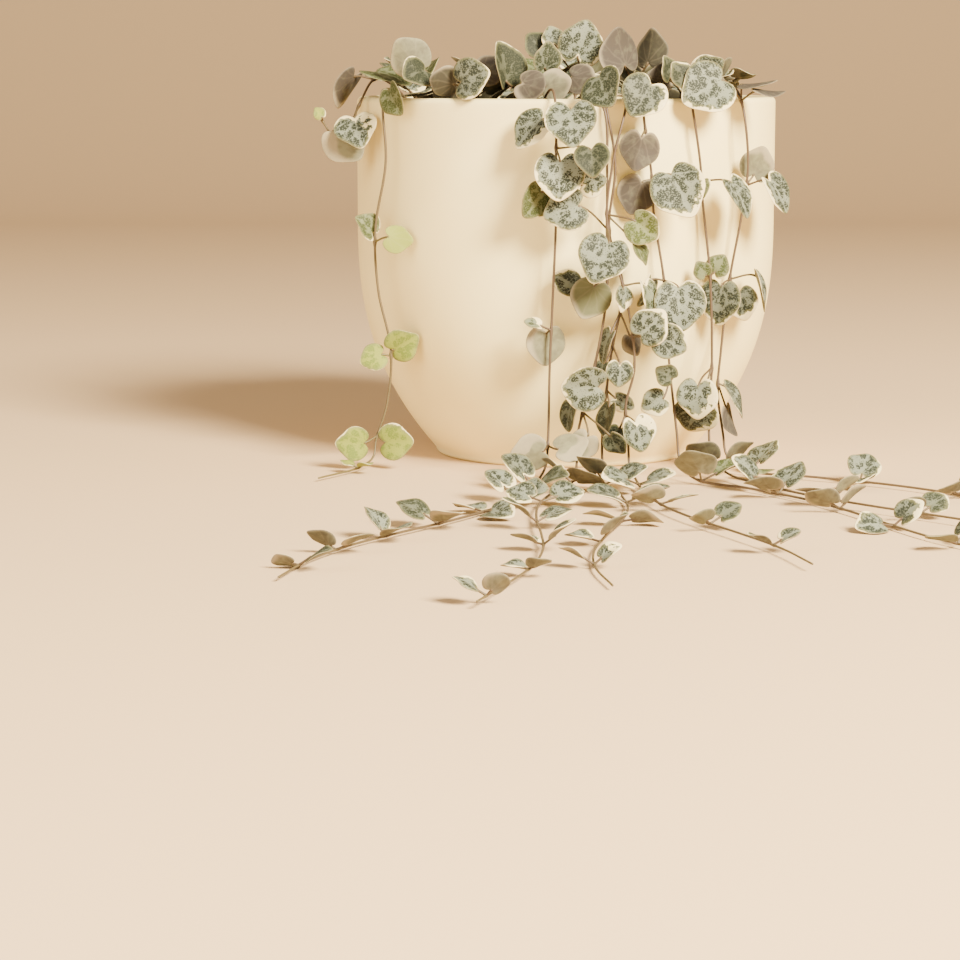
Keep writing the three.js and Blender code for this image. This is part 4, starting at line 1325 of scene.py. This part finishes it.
# ---- The hanging stems, from left to right
STRANDS = {
    "strand_left": Strand(
        way=[
            *out_of_soil(-52, -30), (-63, -39, 138), (-68, -46, 138.5), (-68, -51, 131), (-67, -52, 113),
            (-71, -51, 88), (-70, -51, 66), (-65.5, -51, 44), (-67, -51, 24), (-71, -52, 11),
        ],
        seen=[
            Leaf(138, 4, 10, -2, 13, 154, 24, 44, Coat.GREEN, 16),
            Leaf(84, -3, 0, 5, 11, 319, 18, 43, Coat.GREEN, 25),
            Leaf(84, 8, 7, 1.5, 11, 100, 0, 160, Coat.YOUNG, 6),
            Leaf(42, -6, 1, -0.5, 10.5, 250, 10, 15, Coat.YOUNG, 8),
            Leaf(42, 4, 2, 4, 13, 60, 15, 10, Coat.YOUNG, 8),
            Leaf(12.5, -8.5, 3, -2.5, 13, 272, 20, 0, Coat.YOUNG, 6),
            Leaf(12.5, 6, 3, -2, 14, 85, 20, -4, Coat.YOUNG, 6),
        ],
        lying=Lying(-31, 24, 0, 1.5),
        growth=Growth(1.1, 399, 6, coats=(Coat.YOUNG,)),
        youth=0.6,
    ),
    "strand_1": Strand(
        way=[
            *out_of_soil(-12, -58), (-9, -70, 137.5), (-7, -79, 139), (-6, -86, 132), (-6, -88, 116),
            (-6, -88, 92), (-7, -88, 66), (-8, -88, 40), (-8.5, -89, 16),
        ],
        seen=[
            Leaf(131, 5, 13, -2, 18.5, 177, 31, 5),
            Leaf(131, -8, 3, -5, 17, 222, 5, 50, Coat.CREAM),
            Leaf(119, 1, 8, -8.5, 18, 183, 18, 0, Coat.PALE),
            Leaf(119, 12, 13, -3, 13, 175, 29, 2, Coat.SHADED_DARK, 22),
            Leaf(104, -7, 2, -3, 13.5, 213, 18, -32, Coat.GREEN),
            Leaf(104, 12, 2, 3, 11, 75, 10, 15),
            Leaf(55, -2, -3, -5, 15, 183, -2, 162, Coat.OLIVE, 4),
            Leaf(55, -6, 2, 2.5, 7, 285, 10, 60, Coat.OLIVE),
            Leaf(14, -6, 4, -2, 14, 262, -2, 169, Coat.WHITE),
            Leaf(14, 7.5, 7, 0.5, 13, 77, 0, 136, Coat.WHITE),
        ],
        lying=Lying(-23, 196, 7, 1.6),
        growth=Growth(1.3, 374, 14),
    ),
    "strand_2": Strand(
        way=[
            *out_of_soil(2, -50), (4, -68, 137.5), (6, -79, 139), (11, -86, 132), (12, -87, 112),
            (12, -87, 92), (12, -87, 66), (8, -87, 42), (2, -88, 17),
        ],
        seen=[
            Leaf(74, -6, 3, -7, 15, 201, 3, 182, Coat.MOSS),
            Leaf(74, -14, -2, -2.5, 11, 300, 0, 30),
            Leaf(41, -3, 12, -5, 17.5, 272, 14, -17, Coat.PALE),
            Leaf(41, -8.5, 0, -16, 12, 190, 0, 62, Coat.DARK),
            Leaf(26, 0, 5, -11, 11, 210, -4, 192, Coat.WHITE),
            Leaf(26, 11, 10, -10, 10, 143, -5, 38, Coat.DARK),
        ],
        lying=Lying(-8, 210, -6, 2.6),
        growth=Growth(1.2, 383, 13, every=1.5),
    ),
    "strand_3": Strand(
        way=[
            *out_of_soil(18, -54), (13, -70, 137.5), (11, -79, 139), (12, -83, 132), (15, -84, 113),
            (13, -84, 90), (18, -84, 70), (14, -84, 46), (11, -85, 17),
        ],
        seen=[
            Leaf(138.5, -1, 13, 2, 17, 157, 44, 22, Coat.DARK),
            Leaf(90, -15, 9, 8, 16, 253, 6, 10),
            Leaf(61, -4.5, 3, -11, 14, 197, -2, 74, Coat.MAUVE),
            Leaf(61, 4.5, 0, -11, 9, 163, 1, 147, Coat.MAUVE),
            Leaf(49, 2, 7, -8.5, 10, 184, 9, 1),
            Leaf(49, -4, 1, -8, 8, 213, -3, 62, Coat.DARK),
            Leaf(33, 0, 6, -9, 14, 192, 7, 67, Coat.DARK),
            Leaf(33, 5.5, 1, -4, 9, 120, 0, 30),
        ],
        lying=Lying(-1, 196, 7, 1.6),
        growth=Growth(1.2, 208, 14, every=1.4),
    ),
    "strand_4": Strand(
        way=[
            *out_of_soil(30, -50), (24, -66, 137.5), (20, -78, 139), (18, -87, 131), (14, -90, 115),
            (12, -90, 92), (19, -90, 66), (22, -90, 42), (19, -90, 28), (20, -90, 15),
        ],
        seen=[
            Leaf(96, 12, 5, -4, 13, 128, -2, 10, Coat.FRESH, 18),
            Leaf(96, 11.5, 2, -13, 10, 150, 0, -62, Coat.GREEN),
            Leaf(91, -2, 10, -9, 18.5, 205, 21, 8),
            Leaf(71, 0, 3, -4, 10, 183, 11, -50),
            Leaf(71, 9, 1, -3, 13, 166, 1, -62, Coat.OLIVE),
            Leaf(53, 5.5, 5, 4, 14, 44, 7, -3),
            Leaf(53, 12.5, 4, -1.5, 13, 115, 10, 0),
            Leaf(25, 4, 4, -5.5, 14, 165, 5, -28, Coat.CREAM, 18),
            Leaf(25, -3.5, 2, -7.5, 10, 200, 0, 50, Coat.DARK),
        ],
        lying=Lying(13, 182, -6, 2.6),
        growth=Growth(1.3, 128, 13, every=1.5),
    ),
    "strand_5": Strand(
        way=[
            *out_of_soil(36, -44), (30, -62, 137.5), (26, -75, 139), (25, -80, 132), (28, -80, 110),
            (29, -79, 96), (33, -79, 71), (35, -79, 43), (38, -80, 17),
        ],
        seen=[
            Leaf(138.5, -1, 12, -1, 17, 214, 21, 7, Coat.VEINED),
            Leaf(125, -2.5, 5, -6, 14.5, 192, 3, 180, Coat.MAUVE, 16),
            Leaf(108, 9, 9, -3, 20, 151, 14, -4),
            Leaf(108, -5, 2, -5, 14.5, 200, 0, 180, Coat.MAUVE, 12),
            Leaf(72, 5, 9, -7.5, 19, 177, 10, -4, Coat.PALE),
            Leaf(72, -6, 3, -3, 13, 204, 4, -63),
            Leaf(38, -2, 9, 1, 8.5, 305, 12, -1, Coat.DARK),
            Leaf(38, -5.5, 4, -9.5, 10.5, 240, 0, 0),
        ],
        lying=Lying(31, 196, 7, 1.6),
        growth=Growth(1.2, 169, 15, every=1.3),
    ),
    "strand_6": Strand(
        way=[
            *out_of_soil(46, -36), (44, -54, 137.5), (42, -66, 139), (43, -72, 132), (46, -71, 113),
            (47, -70, 100), (50, -70, 73), (51, -71, 42), (50, -74, 17),
        ],
        seen=[
            Leaf(135, -4, 3, 9.5, 10, 330, 0, 30, Coat.SHADED_DARK),
            Leaf(107, 12.5, 5, -4.5, 17, 150, 3, -60),
            Leaf(107, -2, 3, -3, 12, 204, 11, 42, Coat.GREEN),
            Leaf(73, -3, 3, 2, 7, 327, 3, -1, Coat.GREEN),
            Leaf(73, 3, -2, 3, 9, 31, 1, -3, Coat.GREEN),
            Leaf(40, -6, 14, -9, 15.5, 182, 0, 19, Coat.PALE),
            Leaf(40, -6, 5, -16, 17, 199, -32, 3, Coat.VEINED),
        ],
        lying=Lying(33, 182, -6, 2.6),
        growth=Growth(0.5, 354, 14, every=1.4),
    ),
    "strand_7": Strand(
        way=[
            *out_of_soil(54, -26), (58, -44, 137.5), (60, -55, 139), (62, -61, 132), (64, -61, 112),
            (62, -60, 94), (58, -60, 71), (55, -61, 44), (54, -62, 30), (56, -63, 15),
        ],
        seen=[
            Leaf(135, -13, 14, 5, 20.5, 242, 23, 15),
            Leaf(135, 5, 2, 6, 15, 84, 18, 91, Coat.MAUVE),
            Leaf(135, 8.5, 4, 3.5, 13, 98, 0, 96, Coat.MAUVE),
            Leaf(105, 4, -2, 7, 13, 19, 3, 183, Coat.OLIVE),
            Leaf(105, 10.5, 2, -2, 16.5, 150, 2, -57),
            Leaf(71, -4, 8, -7, 17, 185, 5, 25, Coat.VEINED),
            Leaf(71, 4, 3, -8, 13, 168, 4, 16, Coat.VEINED),
            Leaf(71, 11, 1, -3, 17, 165, 5, -81),
            Leaf(33, 5.5, 0, -5, 16, 150, 0, -76),
            Leaf(33, 4, 3, -12.5, 13, 163, 0, 112, Coat.MAUVE),
        ],
        lying=Lying(50, 168, 7, 1.6),
        growth=Growth(1.1, 337, 14, every=1.5),
    ),
}

# ---- The short stems of the crown, from left to right
SPRIGS = {
    "sprig_left": Sprig(
        way=[
            *out_of_soil(-56, -6), (-64, -14, 139), (-72, -24, 142.5), (-77.5, -31, 133), (-82, -29, 124),
            (-87, -31, 122), (-91.5, -32, 128),
        ],
        seen=[
            Leaf(3, -82, 24, 140, 17, 212, 3, 115, Coat.MAUVE),
            Leaf(3, -67, 34, 144, 21, 109, 40, -69, Coat.GREEN),
            Leaf(4, -78, 40, 125, 16.5, 165, 42, 0, Coat.CREAM),
            Leaf(6, -83, 37, 120, 17, 136, 8, 177, Coat.WHITE),
            Leaf(7, -92, 34, 130, 5, 327, 2, 16, Coat.YOUNG),
        ],
    ),
    "sprig_a": Sprig(
        way=[*out_of_soil(-44, -34), (-48, -42, 137), (-52, -49, 145)],
        seen=[
            Leaf(2.3, -55, 59, 145, 13, 251, 43, 23, Coat.SHADED_DARK),
            Leaf(2.3, -46, 57, 140, 11, 76, 22, 180, Coat.SHADED_MAUVE),
            Leaf(3, -58, 50, 150.5, 15.5, 323, 2, 179, Coat.OLIVE),
        ],
    ),
    "sprig_b": Sprig(
        way=[*out_of_soil(-34, -44), (-34, -53, 136), (-35, -60, 141)],
        seen=[
            Leaf(2.3, -45, 63, 142, 12, 285, 20, 165, Coat.SHADED_MAUVE),
            Leaf(2.3, -30, 56, 146, 12, 50, 0, 160, Coat.MAUVE),
            Leaf(3, -36.5, 70, 143, 15.5, 71, 29, -20, Coat.VEINED),
        ],
    ),
    "sprig_c": Sprig(
        way=[*out_of_soil(-20, -46), (-20, -55, 135), (-20, -61, 140)],
        seen=[
            Leaf(2.3, -15, 70, 140.5, 13, 107, 33, 164, Coat.MAUVE),
            Leaf(3, -24, 64, 147, 18, 349, 3, 52, Coat.SHADED_DARK, 24),
        ],
    ),
    "sprig_d": Sprig(
        way=[*out_of_soil(-6, -40), (-7, -48, 137), (-8, -54, 145)],
        seen=[
            Leaf(2.3, -6, 67, 141, 12, 76, 13, 170, Coat.PALE),
            Leaf(3, -12, 50, 155, 10.5, 320, 0, 20, Coat.SHADED_DARK),
            Leaf(3, -9, 62, 150, 12, 8, 10, 33, Coat.DARK),
        ],
    ),
    "sprig_e": Sprig(
        way=[*out_of_soil(4, -38), (4, -47, 138), (4, -54, 146)],
        seen=[
            Leaf(2.3, 3, 65, 143, 12, 101, 28, 160, Coat.MAUVE),
            Leaf(2.3, -6.5, 53, 157.5, 8.5, 343, -3, -1),
            Leaf(3, 3.5, 58, 155, 17, 15, 5, 0),
        ],
    ),
    "sprig_f": Sprig(
        way=[*out_of_soil(22, -32), (22, -42, 138), (22, -51, 144)],
        seen=[
            Leaf(2.3, 29, 51, 153, 14.5, 10, -6, 140, Coat.SHADED_MAUVE, 14),
            Leaf(3, 18, 61, 152, 18, 345, 7, 216, Coat.MAUVE, 14),
        ],
    ),
    "sprig_g": Sprig(
        way=[*out_of_soil(40, -26), (41, -37, 136), (42, -47, 140)],
        seen=[
            Leaf(2.3, 33, 54, 143, 12, 280, 20, 160, Coat.MAUVE),
            Leaf(2.3, 50, 44, 146, 13, 60, 10, 20),
            Leaf(3, 35, 59, 146, 10, 348, 9, 49, Coat.SHADED_DARK),
            Leaf(3, 50, 55, 141, 12, 93, 20, 164, Coat.MAUVE),
        ],
    ),
}

# Where the grown sprigs stand: x, y, the way they lean in degrees, reach and seed.
GROWN = [
    (48, -5, 25, 18, 829),
    (50, 20, 50, 20, 264),
    (30, 42, 60, 24, 260),
    (4, 50, 75, 22, 185),
    (-24, 46, 120, 20, 215),
    (-44, 28, 150, 22, 185),
    (-54, 6, 215, 16, 848),
    (22, -14, 290, 26, 396),
    (20, 12, 60, 24, 237),
    (-6, 20, 160, 26, 127),
    (-30, -6, 240, 28, 339),
    (-2, -18, 262, 26, 148),
]

# Where a grown sprig's last way points are: at what share of its reach, and how high.
CROWN = ((0.35, 137.0), (1.0, 142.0))


def grown_sprig(x: float, y: float, lean: float, reach: float, seed: int) -> Sprig:
    """Makes a sprig that grows by rule.

    Args:
        x: Where it stands.
        y: Where it stands.
        lean: The way it leans, in degrees from +X.
        reach: How far it leans out.
        seed: Chooses its leaves' draws.

    Returns:
        The sprig.
    """
    ahead = np.array([math.cos(lean * DEG), math.sin(lean * DEG)]) * reach
    way = [(*(np.array([x, y]) + share * ahead), height) for share, height in CROWN]
    growth = Growth(first=1.3, seed=seed, size=18, every=0.56, lean=(-8, 42))
    return Sprig([*out_of_soil(x, y), *way], growth=growth)


SPRIGS |= {f"sprig_top_{i + 1}": grown_sprig(*row) for i, row in enumerate(GROWN)}


# ---- Studio
@dataclass(frozen=True)
class Lamp:
    """A square soft light that looks at the pot. Lengths are metres."""

    name: str
    place: Point
    size: float
    watts: float
    tint: str

    AIM = np.array([0.0, 0.0, 0.08])

    def hang(self) -> None:
        """Hangs the light."""
        data = bpy.data.lights.new(self.name, "AREA")
        data.size, data.energy, data.color = self.size, self.watts, linear(self.tint)[:3]
        light = bpy.data.objects.new(self.name, data)
        light.location = self.place
        back = unit(np.array(self.place) - self.AIM)
        light.rotation_euler = (math.acos(back[2]), 0.0, math.atan2(back[0], -back[1]))
        bpy.context.collection.objects.link(light)


@dataclass(frozen=True)
class Studio:
    """A pale floor, a large soft light from the front right, a fill from the left and the camera.

    Lengths here are metres.

    Attributes:
        place: Where the camera is.
        tilt: How far it looks down, in degrees.
        lens: Its focal length in millimetres.
        far: How far it sees.
        air: The colour of the light from all round.
        glow: That light's strength.
        reach: How far the paper goes to each side and to the front.
        start: How far behind the pot it begins to rise.
        bend: The radius that it rises in.
        top: How high it goes.
        steps: Points on its bend.
    """

    place: Point = (-0.0327, -1.071, 0.15)
    tilt: float = 8.6
    lens: float = 104.4
    far: float = 50.0
    air: str = "#d9c6ab"
    glow: float = 0.75
    reach: float = 7.0
    start: float = 1.5
    bend: float = 1.3
    top: float = 4.0
    steps: int = 33
    lamps: tuple[Lamp, ...] = (
        Lamp("key", (0.76, -1.2, 0.95), 0.5, 160.0, "#fff0d6"),
        Lamp("fill", (-1.2, -1.1, 0.6), 1.2, 24.0, "#fff2e2"),
    )

    def backdrop(self) -> None:
        """Makes the floor and the wall behind it from one sheet of paper that bends up in an arc."""
        turn = np.linspace(0, math.pi / 2, self.steps)
        y = np.concatenate([[-self.reach], self.start + self.bend * np.sin(turn), [self.start + self.bend]])
        z = np.concatenate([[0.0], self.bend * (1 - np.cos(turn)), [self.top]])
        x = np.array([-self.reach, self.reach])
        points = np.stack([np.tile(x, len(y)), np.repeat(y, 2), np.repeat(z, 2)], axis=-1)
        first = np.arange(len(y) - 1) * 2
        faces = np.stack([first, first + 1, first + 3, first + 2], axis=-1)
        mesh = bpy.data.meshes.new("paper_sweep")
        mesh.from_pydata(points.tolist(), [], faces.tolist())
        mesh.polygons.foreach_set("use_smooth", np.ones(len(faces), dtype=bool))
        mesh.materials.append(PaperFinish().material())
        sweep = bpy.data.objects.new("paper_sweep", mesh)
        bpy.context.collection.objects.link(sweep)

    def camera(self) -> None:
        """Places the camera."""
        data = bpy.data.cameras.new("camera")
        data.lens, data.clip_end = self.lens, self.far
        camera = bpy.data.objects.new("camera", data)
        camera.location = self.place
        camera.rotation_euler = ((90 - self.tilt) * DEG, 0.0, 0.0)
        bpy.context.collection.objects.link(camera)
        bpy.context.scene.camera = camera

    def build(self) -> None:
        """Sets up the studio."""
        self.camera()
        self.backdrop()
        for lamp in self.lamps:
            lamp.hang()
        world = bpy.data.worlds.new("air")
        world.use_nodes = True
        background = world.node_tree.nodes["Background"]
        background.inputs["Color"].default_value = linear(self.air)
        background.inputs["Strength"].default_value = self.glow
        bpy.context.scene.world = world


def main() -> None:
    """Builds the studio, the pot, the soil and each leafy stem."""
    Studio().build()
    pot = Pot()
    pot.build(CeramicFinish())
    Soil(pot).build(SoilFinish())
    LOG.info("pot and soil")
    leaf = LeafFinish()
    leaf_sides, bark = [leaf.upper(), leaf.under()], StemFinish().material()
    for number, (name, plan) in enumerate({**STRANDS, **SPRIGS}.items()):
        plan.stem(name, number + 1).build(leaf_sides, bark)


if __name__ == "__main__":
    logging.basicConfig(level=logging.INFO, format="%(name)s: %(message)s")
    main()
